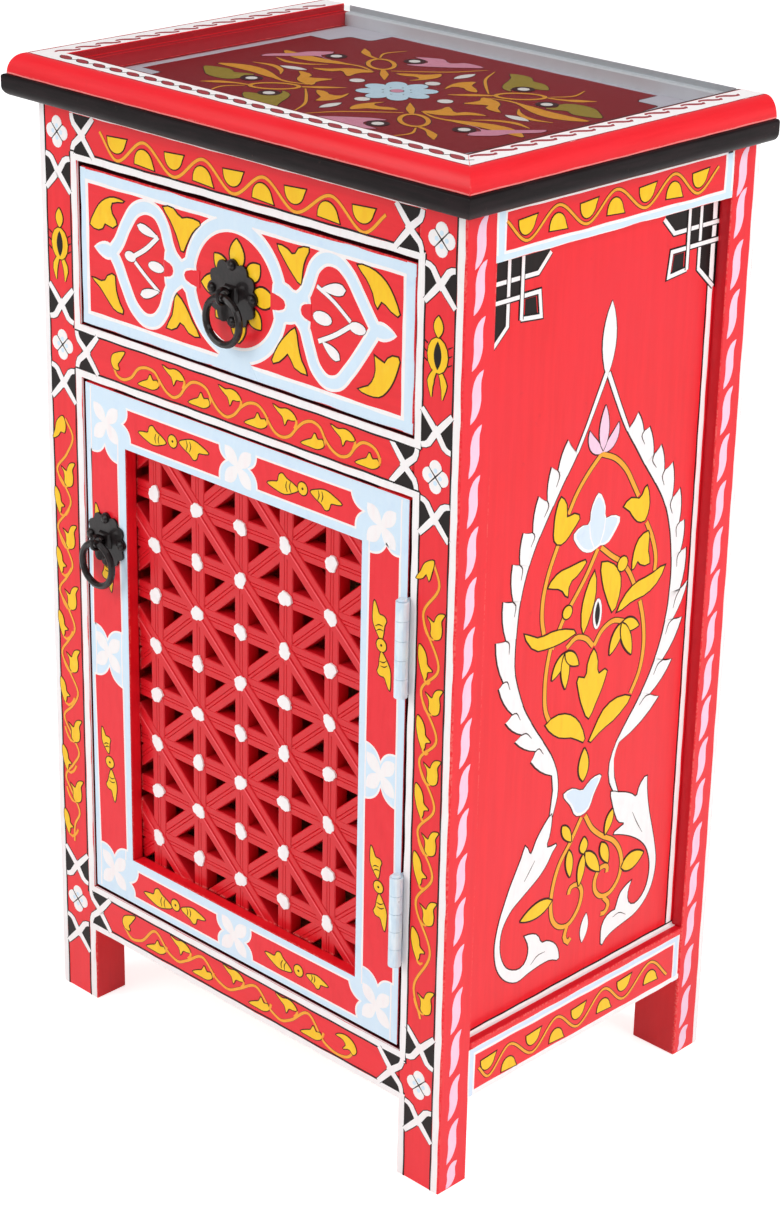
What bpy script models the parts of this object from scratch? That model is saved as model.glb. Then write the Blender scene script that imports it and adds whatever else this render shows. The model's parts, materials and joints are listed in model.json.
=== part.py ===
"""Painted wooden nightstand with one drawer, a lattice door and a glass-covered top.

Metres, +Z up, front towards -Y, origin on the floor under the middle of the whole object.
"""
import math

import bmesh
import bpy
from mathutils import Matrix, Vector

# Fits
FIT = 0.0003                    # gap left between pieces that touch
EDGE = 0.0008                   # softened edge of the boards
WELD = 0.00001                  # points closer than this are one point

# Carcass: posts and rails
CARCASS_WIDTH = 0.350
CARCASS_DEPTH = 0.250
POST_WIDTH = 0.0345             # across the front
POST_DEPTH = 0.025              # along the side
LEG_HEIGHT = 0.058              # floor to the side and rear rails
FRONT_LEG_HEIGHT = 0.053        # floor to the front rail
FRONT_BOTTOM_RAIL_HEIGHT = 0.0335
DOOR_OPENING_HEIGHT = 0.3545
MIDDLE_RAIL_HEIGHT = 0.034
DRAWER_OPENING_HEIGHT = 0.102
TOP_RAIL_HEIGHT = 0.032
SIDE_BOTTOM_RAIL_HEIGHT = 0.038
RAIL_THICKNESS = 0.018
TENON_LENGTH = 0.012
TENON_LAND = 0.002              # wood left between a tenon and the panel groove

# Panels held in grooves
PANEL_RECESS = 0.008
PANEL_THICKNESS = 0.006
GROOVE_DEPTH = 0.006
FLOOR_THICKNESS = 0.010
DUST_PANEL_THICKNESS = 0.005

# Top
TOP_OVERHANG = 0.0155           # widest point of the rounded black edge
TOP_SETBACK = 0.005             # top ends this far in front of the rear posts
TOP_BOARD_THICKNESS = 0.0132
RIM_OVERHANG = 0.013
RIM_SHOULDER_HEIGHT = 0.0100    # height of the rounded outer side of the rim
RIM_SLOPE_RISE = 0.0025         # the painted border rises towards the glass
RIM_BORDER_WIDTH = 0.0125
GLASS_LEDGE_WIDTH = 0.005
GLASS_THICKNESS = 0.004
GLASS_EDGE = 0.0004             # ground edge of the pane
TOP_OFFCUT = 0.031              # length sawn off the board to leave its rear edge square
TOP_EDGE_RESOLUTION = 3
RIM_ARC_STEPS = 8
RIM_SMOOTH_ANGLE = 20

# Drawer
DRAWER_SIDE_GAP = 0.0015
DRAWER_TOP_GAP = 0.003
DRAWER_INSET = 0.001            # drawer and door faces lie this far behind the posts
DRAWER_FRONT_THICKNESS = 0.018
DRAWER_SIDE_THICKNESS = 0.009
DRAWER_SIDE_HEIGHT = 0.080
DRAWER_BOTTOM_THICKNESS = 0.005
DRAWER_BOTTOM_RAISE = 0.008
DRAWER_DADO = 0.004
DRAWER_REAR_GAP = 0.001
RUNNER_RAISE = 0.001            # runners stand this far above the middle rail
RUNNER_HEIGHT = 0.016
RUNNER_LEDGE = 0.014            # part of the runner under the drawer side
GUIDE_HEIGHT = 0.025
GUIDE_PROUD = 0.001

# Door and lattice
DOOR_THICKNESS = 0.020
DOOR_LATCH_GAP = 0.0015
DOOR_END_GAP = 0.002
HINGE_GAP = 0.003
STILE_WIDTH = 0.0365
DOOR_TOP_RAIL_HEIGHT = 0.035
DOOR_BOTTOM_RAIL_HEIGHT = 0.032
DOOR_TENON_THICKNESS = 0.004
DOOR_TENON_INSET = 0.002
LATTICE_RECESS = 0.0085
LATTICE_THICKNESS = 0.009
LATTICE_REBATE = 0.008
LATTICE_BAR_WIDTH = 0.012
LATTICE_COLUMN_PITCH = 0.0386
LATTICE_ROW_PITCH = 0.0339
LATTICE_SHIFT_X = -0.0077       # the lattice is cut from a larger sheet, so it sits off centre
LATTICE_SHIFT_Z = -0.0031
LATTICE_GAP_REACH = 0.0008      # openings run this far behind the door frame
LATTICE_SMALLEST_GAP = 0.00002  # square metres; smaller openings stay solid
DOOR_STOP_WIDTH = 0.010
DOOR_STOP_DEPTH = 0.012
DOOR_STOP_HEIGHT = 0.120

# Hinges
HINGE_HEIGHT = 0.059
HINGE_INSET = 0.088             # door end to the middle of its hinge
HINGE_AXIS_PROUD = 0.0045       # pin axis in front of the posts
BARREL_RADIUS = 0.004
HINGE_PIN_RADIUS = 0.0016
HINGE_PIN_HEAD_RADIUS = 0.003
HINGE_PIN_CROWN_RADIUS = 0.0024
HINGE_PIN_HEAD_HEIGHT = 0.0012
LEAF_THICKNESS = 0.0011
LEAF_DEPTH = 0.016
KNUCKLE_COUNT = 5
KNUCKLE_SIDES = 14
HINGE_BORE_OVERRUN = 0.006

# Ring pulls
DRAWER_PLATE_RADIUS = 0.0205
DOOR_PLATE_RADIUS = 0.0178
DRAWER_PULL_SHIFT = -0.0045     # the drawer pull sits a little left of the middle
DOOR_PULL_DROP = 0.099          # door top to the middle of its pull
PLATE_THICKNESS = 0.0015
PLATE_LOBES = 12
PLATE_LOBE_STEPS = 6
PLATE_SCALLOP = 0.13            # depth of the scallops as a share of the radius
BOSS_SIZE = 0.011
BOSS_TOP_SIZE = 0.0085
BOSS_HEIGHT = 0.002
NAIL_INSET = 0.0038             # nail centre to the rim of the plate
NAIL_HEAD_RADIUS = 0.0031
NAIL_HEAD_HEIGHT = 0.0021
NAIL_SHANK_RADIUS = 0.0009
NAIL_LENGTH = 0.006
NAIL_SIDES = 10
NAIL_BORE_SIDES = 8
NAIL_DOME_ANGLES = (60, 30, 8)
STAPLE_WIRE_RADIUS = 0.0012
STAPLE_LEG_SPACING = 0.0015     # half the distance between the two legs
STAPLE_EYE_RADIUS = 0.0044
STAPLE_EYE_STEPS = 16
STAPLE_CLINCH = 0.006
WIRE_RESOLUTION = 1
RING_RADIUS = 0.0140
RING_BAR_RADIUS = 0.0022
RING_SEGMENTS = 32
RING_BAR_SIDES = 8
RING_SMOOTH_ANGLE = 60

# Levels and planes that follow from the sizes above
SIDE = CARCASS_WIDTH / 2
FRONT = TOP_OVERHANG - (CARCASS_DEPTH + TOP_OVERHANG) / 2
REAR = FRONT + CARCASS_DEPTH
TOP_REAR = REAR - TOP_SETBACK
INNER = SIDE - POST_WIDTH
FRONT_POST_BACK = FRONT + POST_DEPTH
REAR_POST_FACE = REAR - POST_DEPTH
DOOR_SILL = FRONT_LEG_HEIGHT + FRONT_BOTTOM_RAIL_HEIGHT
DOOR_HEAD = DOOR_SILL + DOOR_OPENING_HEIGHT
DRAWER_FLOOR = DOOR_HEAD + MIDDLE_RAIL_HEIGHT
DRAWER_CEILING = DRAWER_FLOOR + DRAWER_OPENING_HEIGHT
CARCASS_TOP = DRAWER_CEILING + TOP_RAIL_HEIGHT
SIDE_SILL = LEG_HEIGHT + SIDE_BOTTOM_RAIL_HEIGHT
TENON_SHOULDER = GROOVE_DEPTH + TENON_LAND
PANEL_INSIDE = PANEL_RECESS + PANEL_THICKNESS
TOP_BOARD_BASE = CARCASS_TOP + FIT
RIM_BASE = TOP_BOARD_BASE + TOP_BOARD_THICKNESS + FIT
RIM_CREST = RIM_BASE + RIM_SHOULDER_HEIGHT + RIM_SLOPE_RISE
GLASS_BASE = RIM_CREST - GLASS_THICKNESS - FIT
FACE = FRONT + DRAWER_INSET
RUNNER_TOP = DRAWER_FLOOR + RUNNER_RAISE
DRAWER_HALF = INNER - DRAWER_SIDE_GAP
DRAWER_BASE = RUNNER_TOP + FIT
DRAWER_BACK_Y = REAR - PANEL_INSIDE - DRAWER_REAR_GAP
DOOR_LEFT = -INNER + DOOR_LATCH_GAP
DOOR_RIGHT = INNER - HINGE_GAP
DOOR_BASE = DOOR_SILL + DOOR_END_GAP
DOOR_TOP = DOOR_HEAD - DOOR_END_GAP
DOOR_BACK = FACE + DOOR_THICKNESS
LATTICE_LEFT = DOOR_LEFT + STILE_WIDTH
LATTICE_RIGHT = DOOR_RIGHT - STILE_WIDTH
LATTICE_BASE = DOOR_BASE + DOOR_BOTTOM_RAIL_HEIGHT
LATTICE_TOP = DOOR_TOP - DOOR_TOP_RAIL_HEIGHT
LATTICE_FACE = FACE + LATTICE_RECESS
HINGE_X = INNER - HINGE_GAP / 2
HINGE_Y = FRONT - HINGE_AXIS_PROUD
EYE_OFFSET = PLATE_THICKNESS + BOSS_HEIGHT + STAPLE_EYE_RADIUS + STAPLE_WIRE_RADIUS
RING_SEAT = STAPLE_EYE_RADIUS - STAPLE_WIRE_RADIUS - RING_BAR_RADIUS - FIT


def clear_scene():
    """Remove whatever the scene holds."""
    for item in list(bpy.data.objects):
        bpy.data.objects.remove(item, do_unlink=True)


def new_collection(name):
    """Collection linked to the scene."""
    collection = bpy.data.collections.new(name)
    bpy.context.scene.collection.children.link(collection)
    return collection


clear_scene()
PARTS = new_collection("moroccan_nightstand")
CUTTERS = new_collection("cutters")


def principled(name, colour, roughness, metallic=0.0):
    """Principled material of one colour."""
    material = bpy.data.materials.new(name)
    material.use_nodes = True
    shader = material.node_tree.nodes["Principled BSDF"]
    shader.inputs["Base Color"].default_value = (*colour, 1.0)
    shader.inputs["Roughness"].default_value = roughness
    shader.inputs["Metallic"].default_value = metallic
    return material


RED_PAINT = principled("red_paint", (0.83, 0.03, 0.05), 0.38)
BLACK_PAINT = principled("black_paint", (0.02, 0.018, 0.02), 0.3)
BLUE_PAINT = principled("blue_paint", (0.60, 0.78, 0.90), 0.45)
BARE_WOOD = principled("bare_wood", (0.52, 0.36, 0.21), 0.7)
BLACK_IRON = principled("black_iron", (0.03, 0.03, 0.035), 0.4, 0.85)
CLEAR_GLASS = principled("clear_glass", (0.80, 0.84, 0.84), 0.05)


def empty(name, location, parent=None):
    """Empty that carries a moving group; its place is its joint axis."""
    item = bpy.data.objects.new(name, None)
    PARTS.objects.link(item)
    item.location = location
    attach(item, parent)
    return item


def attach(item, parent):
    """Parent an object while its location stays a world position at rest."""
    if parent is not None:
        item.parent = parent
        item.matrix_parent_inverse = Matrix.Translation(-parent.location)


def add_part(name, mesh, material, location=(0, 0, 0), parent=None):
    """Named piece with its own material."""
    mesh.materials.clear()
    mesh.materials.append(material)
    item = bpy.data.objects.new(name, mesh)
    PARTS.objects.link(item)
    item.location = location
    attach(item, parent)
    return item


def add_cutter(name, mesh, location=(0, 0, 0)):
    """Hidden helper solid for a Boolean."""
    item = bpy.data.objects.new(name, mesh)
    CUTTERS.objects.link(item)
    item.location = location
    item.hide_render = True
    item.display_type = "WIRE"
    return item


def boolean(item, helper, operation):
    """Boolean modifier with the exact solver."""
    modifier = item.modifiers.new(operation.lower(), "BOOLEAN")
    modifier.operation = operation
    modifier.solver = "EXACT"
    modifier.object = helper


def cut(item, helper):
    """Take the helper's volume out of a piece."""
    boolean(item, helper, "DIFFERENCE")


def fuse(item, helper):
    """Join the helper's volume to a piece."""
    boolean(item, helper, "UNION")


def mesh_from(name, build):
    """Mesh made by a function that fills a bmesh, with its faces turned outwards."""
    bm = bmesh.new()
    build(bm)
    bmesh.ops.recalc_face_normals(bm, faces=bm.faces)
    mesh = bpy.data.meshes.new(name)
    bm.to_mesh(mesh)
    bm.free()
    return mesh


def boxes_mesh(name, spans):
    """Mesh of separate boxes, each given by its low and high corner."""
    def build(bm):
        for low, high in spans:
            size = Vector(high) - Vector(low)
            middle = (Vector(high) + Vector(low)) / 2
            matrix = Matrix.Translation(middle) @ Matrix.Diagonal((*size, 1.0))
            bmesh.ops.create_cube(bm, size=1.0, matrix=matrix)
    return mesh_from(name, build)


def cylinders_mesh(name, centres, radius, length, turn, sides):
    """Mesh of equal separate cylinders about one direction."""
    def build(bm):
        for centre in centres:
            bmesh.ops.create_cone(
                bm, cap_ends=True, segments=sides, radius1=radius, radius2=radius,
                depth=length, matrix=Matrix.Translation(centre) @ turn)
    return mesh_from(name, build)


def board(name, low, high, material, parent=None, edge=EDGE):
    """Straight board with softened edges, placed by its middle."""
    middle = (Vector(low) + Vector(high)) / 2
    mesh = boxes_mesh(name, [(Vector(low) - middle, Vector(high) - middle)])
    item = add_part(name, mesh, material, middle, parent)
    if edge > 0:
        bevel = item.modifiers.new("softened_edge", "BEVEL")
        bevel.width = edge
        bevel.segments = 1
    return item


def grown(low, high, by=FIT):
    """Box corners moved outwards by a clearance."""
    step = Vector((by, by, by))
    return Vector(low) - step, Vector(high) + step


def cut_boxes(item, spans):
    """Cut separate boxes out of a piece."""
    name = item.name + "_cuts"
    cut(item, add_cutter(name, boxes_mesh(name, spans)))


def fuse_box(item, low, high, label):
    """Join a box, such as a tenon, to a piece."""
    name = item.name + "_" + label
    fuse(item, add_cutter(name, boxes_mesh(name, [(low, high)])))


def flat_outline(name, outlines, thickness):
    """Flat curve with holes in it, given as closed point lists, made a welded mesh about its plane."""
    curve = bpy.data.curves.new(name, "CURVE")
    curve.dimensions = "2D"
    curve.fill_mode = "BOTH"
    curve.extrude = thickness / 2
    for points in outlines:
        spline = curve.splines.new("POLY")
        spline.points.add(len(points) - 1)
        for point, (u, v) in zip(spline.points, points):
            point.co = (u, v, 0.0, 1.0)
        spline.use_cyclic_u = True
    return curve_mesh(name, curve)


def curve_mesh(name, curve):
    """Closed mesh of a curve, with its caps welded on."""
    carrier = bpy.data.objects.new(name, curve)
    bpy.context.scene.collection.objects.link(carrier)
    bpy.context.view_layer.update()
    evaluated = carrier.evaluated_get(bpy.context.evaluated_depsgraph_get())
    mesh = bpy.data.meshes.new_from_object(evaluated)
    bpy.data.objects.remove(carrier, do_unlink=True)
    bm = bmesh.new()
    bm.from_mesh(mesh)
    bmesh.ops.remove_doubles(bm, verts=bm.verts, dist=WELD)
    bmesh.ops.recalc_face_normals(bm, faces=bm.faces)
    bm.to_mesh(mesh)
    bm.free()
    mesh.name = name
    return mesh


def smooth(item, angle=35):
    """Smooth shading that keeps the sharp edges."""
    item.data.shade_smooth()
    item.data.set_sharp_from_angle(angle=math.radians(angle))


def mirrored_span(sign, near, far):
    """Low and high X of a span that lies left or right of the middle plane."""
    return (near, far) if sign > 0 else (-far, -near)


# Carcass

def front_rail_levels():
    """Height ranges of the three front rails."""
    return {
        "rail_front_bottom": (FRONT_LEG_HEIGHT, DOOR_SILL),
        "rail_front_middle": (DOOR_HEAD, DRAWER_FLOOR),
        "rail_front_top": (DRAWER_CEILING, CARCASS_TOP),
    }


def side_rail_levels():
    """Height ranges of the rails at the sides and the rear."""
    return {"bottom": (LEG_HEIGHT, SIDE_SILL), "top": (DRAWER_CEILING, CARCASS_TOP)}


def cross_tenon(face, inwards, levels):
    """Tenon bar of a rail between left and right posts."""
    ends = sorted((face + inwards * PANEL_RECESS, face + inwards * PANEL_INSIDE))
    reach = INNER - FIT + TENON_LENGTH
    low = (-reach, ends[0], levels[0] + TENON_SHOULDER)
    high = (reach, ends[1], levels[1] - TENON_SHOULDER)
    return low, high


def side_tenon(sign, levels):
    """Tenon bar of a rail between front and rear posts."""
    near, far = mirrored_span(sign, SIDE - PANEL_INSIDE, SIDE - PANEL_RECESS)
    low = (near, FRONT_POST_BACK + FIT - TENON_LENGTH, levels[0] + TENON_SHOULDER)
    high = (far, REAR_POST_FACE - FIT + TENON_LENGTH, levels[1] - TENON_SHOULDER)
    return low, high


def side_panel_span(sign):
    """Corners of a side panel, standing in its grooves."""
    near, far = mirrored_span(sign, SIDE - PANEL_INSIDE, SIDE - PANEL_RECESS)
    reach = GROOVE_DEPTH - FIT
    low = (near, FRONT_POST_BACK - reach, SIDE_SILL - reach)
    high = (far, REAR_POST_FACE + reach, DRAWER_CEILING + reach)
    return low, high


def back_panel_span():
    """Corners of the back panel, standing in its grooves."""
    reach = GROOVE_DEPTH - FIT
    low = (-INNER - reach, REAR - PANEL_INSIDE, SIDE_SILL - reach)
    high = (INNER + reach, REAR - PANEL_RECESS, DRAWER_CEILING + reach)
    return low, high


def floor_span():
    """Corners of the cupboard floor, whose long edges stand in the side rails."""
    reach = SIDE - RAIL_THICKNESS + GROOVE_DEPTH - FIT
    low = (-reach, FRONT + RAIL_THICKNESS + FIT, DOOR_SILL - FLOOR_THICKNESS)
    high = (reach, REAR - RAIL_THICKNESS - FIT, DOOR_SILL)
    return low, high


def dust_panel_span():
    """Corners of the thin board between the drawer and the cupboard."""
    reach = INNER - RUNNER_LEDGE + GROOVE_DEPTH - FIT
    base = RUNNER_TOP - RUNNER_HEIGHT / 2 - DUST_PANEL_THICKNESS / 2
    low = (-reach, FRONT + RAIL_THICKNESS - GROOVE_DEPTH + FIT, base)
    high = (reach, REAR - PANEL_INSIDE - FIT, base + DUST_PANEL_THICKNESS)
    return low, high


def make_posts():
    """Four posts with mortises for the rails and grooves for the panels."""
    for sign, side_name in ((-1, "left"), (1, "right")):
        near, far = mirrored_span(sign, INNER, SIDE)
        side_cuts = [grown(*side_tenon(sign, levels)) for levels in side_rail_levels().values()]
        side_cuts.append(grown(*side_panel_span(sign)))
        front_cuts = [grown(*cross_tenon(FRONT, 1, levels)) for levels in front_rail_levels().values()]
        rear_cuts = [grown(*cross_tenon(REAR, -1, levels)) for levels in side_rail_levels().values()]
        rear_cuts.append(grown(*back_panel_span()))
        front_post = board("post_front_" + side_name, (near, FRONT, 0), (far, FRONT_POST_BACK, CARCASS_TOP),
                           RED_PAINT)
        cut_boxes(front_post, side_cuts + front_cuts)
        rear_post = board("post_rear_" + side_name, (near, REAR_POST_FACE, 0), (far, REAR, CARCASS_TOP),
                          RED_PAINT)
        cut_boxes(rear_post, side_cuts + rear_cuts)


def make_cross_rails():
    """Front and rear rails, tenoned into the posts."""
    reach = INNER - FIT
    for name, levels in front_rail_levels().items():
        rail = board(name, (-reach, FRONT, levels[0]), (reach, FRONT + RAIL_THICKNESS, levels[1]), RED_PAINT)
        fuse_box(rail, *cross_tenon(FRONT, 1, levels), "tenons")
        if name == "rail_front_middle":
            cut_boxes(rail, [grown(*dust_panel_span())])
    for label, levels in side_rail_levels().items():
        rail = board("rail_rear_" + label, (-reach, REAR - RAIL_THICKNESS, levels[0]), (reach, REAR, levels[1]),
                     RED_PAINT)
        fuse_box(rail, *cross_tenon(REAR, -1, levels), "tenons")
        cut_boxes(rail, [grown(*back_panel_span())])


def make_side_rails():
    """Side rails, tenoned into the posts and grooved for the panels and the floor."""
    for sign, side_name in ((-1, "left"), (1, "right")):
        near, far = mirrored_span(sign, SIDE - RAIL_THICKNESS, SIDE)
        for label, levels in side_rail_levels().items():
            low = (near, FRONT_POST_BACK + FIT, levels[0])
            high = (far, REAR_POST_FACE - FIT, levels[1])
            rail = board("rail_" + side_name + "_" + label, low, high, RED_PAINT)
            fuse_box(rail, *side_tenon(sign, levels), "tenons")
            grooves = [grown(*side_panel_span(sign))]
            if label == "bottom":
                grooves.append(grown(*floor_span()))
            cut_boxes(rail, grooves)


def make_panels():
    """Side and back panels, the cupboard floor and the dust panel."""
    board("panel_left", *side_panel_span(-1), RED_PAINT, edge=0)
    board("panel_right", *side_panel_span(1), RED_PAINT, edge=0)
    board("panel_back", *back_panel_span(), BARE_WOOD, edge=0)
    floor = board("cupboard_floor", *floor_span(), BARE_WOOD, edge=0)
    corners = []
    for sign in (-1, 1):
        near, far = mirrored_span(sign, INNER, SIDE)
        corners.append(grown((near, FRONT, 0), (far, FRONT_POST_BACK, CARCASS_TOP)))
        corners.append(grown((near, REAR_POST_FACE, 0), (far, REAR, CARCASS_TOP)))
    cut_boxes(floor, corners)
    board("dust_panel", *dust_panel_span(), BARE_WOOD, edge=0)


def make_runners():
    """Runners under the drawer sides and guides beside them, between the posts."""
    for sign, side_name in ((-1, "left"), (1, "right")):
        outer = SIDE - PANEL_INSIDE - FIT
        front_end = FRONT_POST_BACK + FIT
        rear_end = REAR_POST_FACE - FIT
        near, far = mirrored_span(sign, INNER - RUNNER_LEDGE, outer)
        runner = board("drawer_runner_" + side_name, (near, front_end, RUNNER_TOP - RUNNER_HEIGHT),
                       (far, rear_end, RUNNER_TOP), BARE_WOOD)
        cut_boxes(runner, [grown(*dust_panel_span())])
        near, far = mirrored_span(sign, INNER - GUIDE_PROUD, outer)
        board("drawer_guide_" + side_name, (near, front_end, RUNNER_TOP + FIT),
              (far, rear_end, RUNNER_TOP + FIT + GUIDE_HEIGHT), BARE_WOOD)


def make_door_stop():
    """Strip on the left front post that the closed door rests against."""
    low = (-INNER + FIT, DOOR_BACK + FIT, (DOOR_SILL + DOOR_HEAD - DOOR_STOP_HEIGHT) / 2)
    high = (low[0] + DOOR_STOP_WIDTH, low[1] + DOOR_STOP_DEPTH, low[2] + DOOR_STOP_HEIGHT)
    board("door_stop", low, high, BARE_WOOD)


# Top

def make_top_board():
    """Board with a half-round edge at the front and the sides, cut square at the rear."""
    radius = TOP_BOARD_THICKNESS / 2
    half_width = SIDE + TOP_OVERHANG - radius
    front_edge = FRONT - TOP_OVERHANG + radius
    rear_edge = TOP_REAR + TOP_OFFCUT
    curve = bpy.data.curves.new("top_board", "CURVE")
    curve.dimensions = "2D"
    curve.fill_mode = "BOTH"
    curve.bevel_depth = radius
    curve.bevel_resolution = TOP_EDGE_RESOLUTION
    spline = curve.splines.new("POLY")
    corners = ((-half_width, front_edge), (half_width, front_edge),
               (half_width, rear_edge), (-half_width, rear_edge))
    spline.points.add(len(corners) - 1)
    for point, (x, y) in zip(spline.points, corners):
        point.co = (x, y, 0.0, 1.0)
    spline.use_cyclic_u = True
    item = add_part("top_board", curve_mesh("top_board", curve), BLACK_PAINT,
                    (0, 0, TOP_BOARD_BASE + radius))
    smooth(item)
    reach = SIDE + TOP_OVERHANG + TOP_OFFCUT
    rear_cut = ((-reach, TOP_REAR, CARCASS_TOP - TOP_BOARD_THICKNESS),
                (reach, rear_edge + TOP_OFFCUT, RIM_CREST))
    cut_boxes(item, [rear_cut])


def rim_profile():
    """Section of the rim: distance out from the carcass face, and height above the board."""
    shoulder = RIM_SHOULDER_HEIGHT
    ledge = GLASS_BASE - FIT - RIM_BASE
    inner = -RIM_BORDER_WIDTH - GLASS_LEDGE_WIDTH
    points = [(inner, 0.0)]
    for step in range(RIM_ARC_STEPS + 1):
        turn = math.pi / 2 * step / RIM_ARC_STEPS
        points.append((RIM_OVERHANG * math.cos(turn), shoulder * math.sin(turn)))
    points.append((-RIM_BORDER_WIDTH, shoulder + RIM_SLOPE_RISE))
    points.append((-RIM_BORDER_WIDTH, ledge))
    points.append((inner, ledge))
    return points


def rim_mesh(name, length, mitres, place):
    """Rim section drawn out along a length; a mitred end runs out by its distance from the carcass."""
    def build(bm):
        start = [bm.verts.new((out, 0.0, height)) for out, height in rim_profile()]
        face = bm.faces.new(start)
        drawn = bmesh.ops.extrude_face_region(bm, geom=[face])["geom"]
        end = [item for item in drawn if isinstance(item, bmesh.types.BMVert)]
        for vert in end:
            vert.co.y = length + (vert.co.x - FIT if mitres[1] else 0.0)
        for vert in start:
            vert.co.y = FIT - vert.co.x if mitres[0] else 0.0
        for vert in bm.verts:
            vert.co = place(vert.co)
    return mesh_from(name, build)


def make_rims():
    """Three mitred mouldings round the glass; the rear is open."""
    def front_place(co):
        return Vector((co.y - SIDE, FRONT - co.x, co.z))

    def right_place(co):
        return Vector((SIDE + co.x, FRONT + co.y, co.z))

    def left_place(co):
        return Vector((-SIDE - co.x, FRONT + co.y, co.z))

    side_length = TOP_REAR - FRONT
    layout = (("rim_front", CARCASS_WIDTH, (True, True), front_place),
              ("rim_right", side_length, (True, False), right_place),
              ("rim_left", side_length, (True, False), left_place))
    for name, length, mitres, place in layout:
        item = add_part(name, rim_mesh(name, length, mitres, place), RED_PAINT, (0, 0, RIM_BASE))
        smooth(item, RIM_SMOOTH_ANGLE)


def make_glass():
    """Pane that lies on the ledges of the rim."""
    half_width = SIDE - RIM_BORDER_WIDTH - FIT
    front_edge = FRONT + RIM_BORDER_WIDTH + FIT
    board("glass_pane", (-half_width, front_edge, GLASS_BASE),
          (half_width, TOP_REAR, GLASS_BASE + GLASS_THICKNESS), CLEAR_GLASS, edge=GLASS_EDGE)


# Ring pulls

def plate_outline(radius):
    """Rosette outline with equal round lobes."""
    steps = PLATE_LOBES * PLATE_LOBE_STEPS
    points = []
    for step in range(steps):
        turn = 2 * math.pi * step / steps
        lobe = abs(math.cos(PLATE_LOBES * turn / 2))
        reach = radius * (1 - PLATE_SCALLOP * (1 - lobe))
        points.append((reach * math.cos(turn), reach * math.sin(turn)))
    return points


def nail_places(radius):
    """Offsets of the four nails of a plate."""
    reach = radius - NAIL_INSET
    return [(0, reach), (reach, 0), (0, -reach), (-reach, 0)]


def slot_span(centre, back):
    """Hole for both legs of a staple, through the plate and the wood behind it."""
    half_x = STAPLE_WIRE_RADIUS + FIT
    half_z = STAPLE_WIRE_RADIUS + STAPLE_LEG_SPACING + FIT
    front = centre.y - PLATE_THICKNESS - 2 * BOSS_HEIGHT
    low = (centre.x - half_x, front, centre.z - half_z)
    high = (centre.x + half_x, back + STAPLE_WIRE_RADIUS, centre.z + half_z)
    return low, high


def nail_cutter(name, centre, radius):
    """Bores for the four nails."""
    length = 2 * (NAIL_LENGTH + FIT)
    centres = [centre + Vector((x, 0, z)) for x, z in nail_places(radius)]
    turn = Matrix.Rotation(math.pi / 2, 4, "X")
    mesh = cylinders_mesh(name, centres, NAIL_SHANK_RADIUS + FIT, length, turn, NAIL_BORE_SIDES)
    return add_cutter(name, mesh)


def nail_mesh(name):
    """Profile of a nail with a domed head, to be turned about Z; z=0 is under the head."""
    profile = [(0.0, NAIL_HEAD_HEIGHT)]
    for turn in NAIL_DOME_ANGLES:
        angle = math.radians(turn)
        profile.append((NAIL_HEAD_RADIUS * math.cos(angle), NAIL_HEAD_HEIGHT * math.sin(angle)))
    profile += [(NAIL_HEAD_RADIUS, 0.0), (NAIL_SHANK_RADIUS, 0.0),
                (NAIL_SHANK_RADIUS, -NAIL_LENGTH), (0.0, -NAIL_LENGTH)]
    return profile_mesh(name, profile)


def profile_mesh(name, profile):
    """Open profile in the XZ plane, top to bottom."""
    bm = bmesh.new()
    verts = [bm.verts.new((x, 0.0, z)) for x, z in profile]
    for first, second in zip(verts, verts[1:]):
        bm.edges.new((first, second))
    mesh = bpy.data.meshes.new(name)
    bm.to_mesh(mesh)
    bm.free()
    return mesh


def turned(item, steps):
    """Turn a piece's profile about its own Z axis."""
    screw = item.modifiers.new("turned", "SCREW")
    screw.axis = "Z"
    screw.steps = steps
    screw.render_steps = steps
    screw.use_merge_vertices = True
    screw.merge_threshold = WELD


def staple_points(centre, back):
    """Path of the staple: clinched leg, eye in front, clinched leg."""
    leg = STAPLE_LEG_SPACING
    clinch_y = back + FIT + STAPLE_WIRE_RADIUS
    open_angle = math.asin(leg / STAPLE_EYE_RADIUS)
    eye_y = centre.y - EYE_OFFSET
    upper = [(clinch_y, leg + STAPLE_CLINCH), (clinch_y, leg + STAPLE_WIRE_RADIUS),
             (clinch_y - STAPLE_WIRE_RADIUS, leg)]
    eye = []
    for step in range(STAPLE_EYE_STEPS + 1):
        turn = open_angle + (2 * math.pi - 2 * open_angle) * step / STAPLE_EYE_STEPS
        eye.append((eye_y + STAPLE_EYE_RADIUS * math.cos(turn), STAPLE_EYE_RADIUS * math.sin(turn)))
    lower = [(y, -z) for y, z in reversed(upper)]
    return [Vector((centre.x, y, centre.z + z)) for y, z in upper + eye + lower]


def wire_mesh(name, points, radius):
    """Round wire along a path, with closed ends."""
    curve = bpy.data.curves.new(name, "CURVE")
    curve.dimensions = "3D"
    curve.bevel_depth = radius
    curve.bevel_resolution = WIRE_RESOLUTION
    curve.use_fill_caps = True
    spline = curve.splines.new("POLY")
    spline.points.add(len(points) - 1)
    for point, place in zip(spline.points, points):
        point.co = (*place, 1.0)
    return curve_mesh(name, curve)


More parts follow.
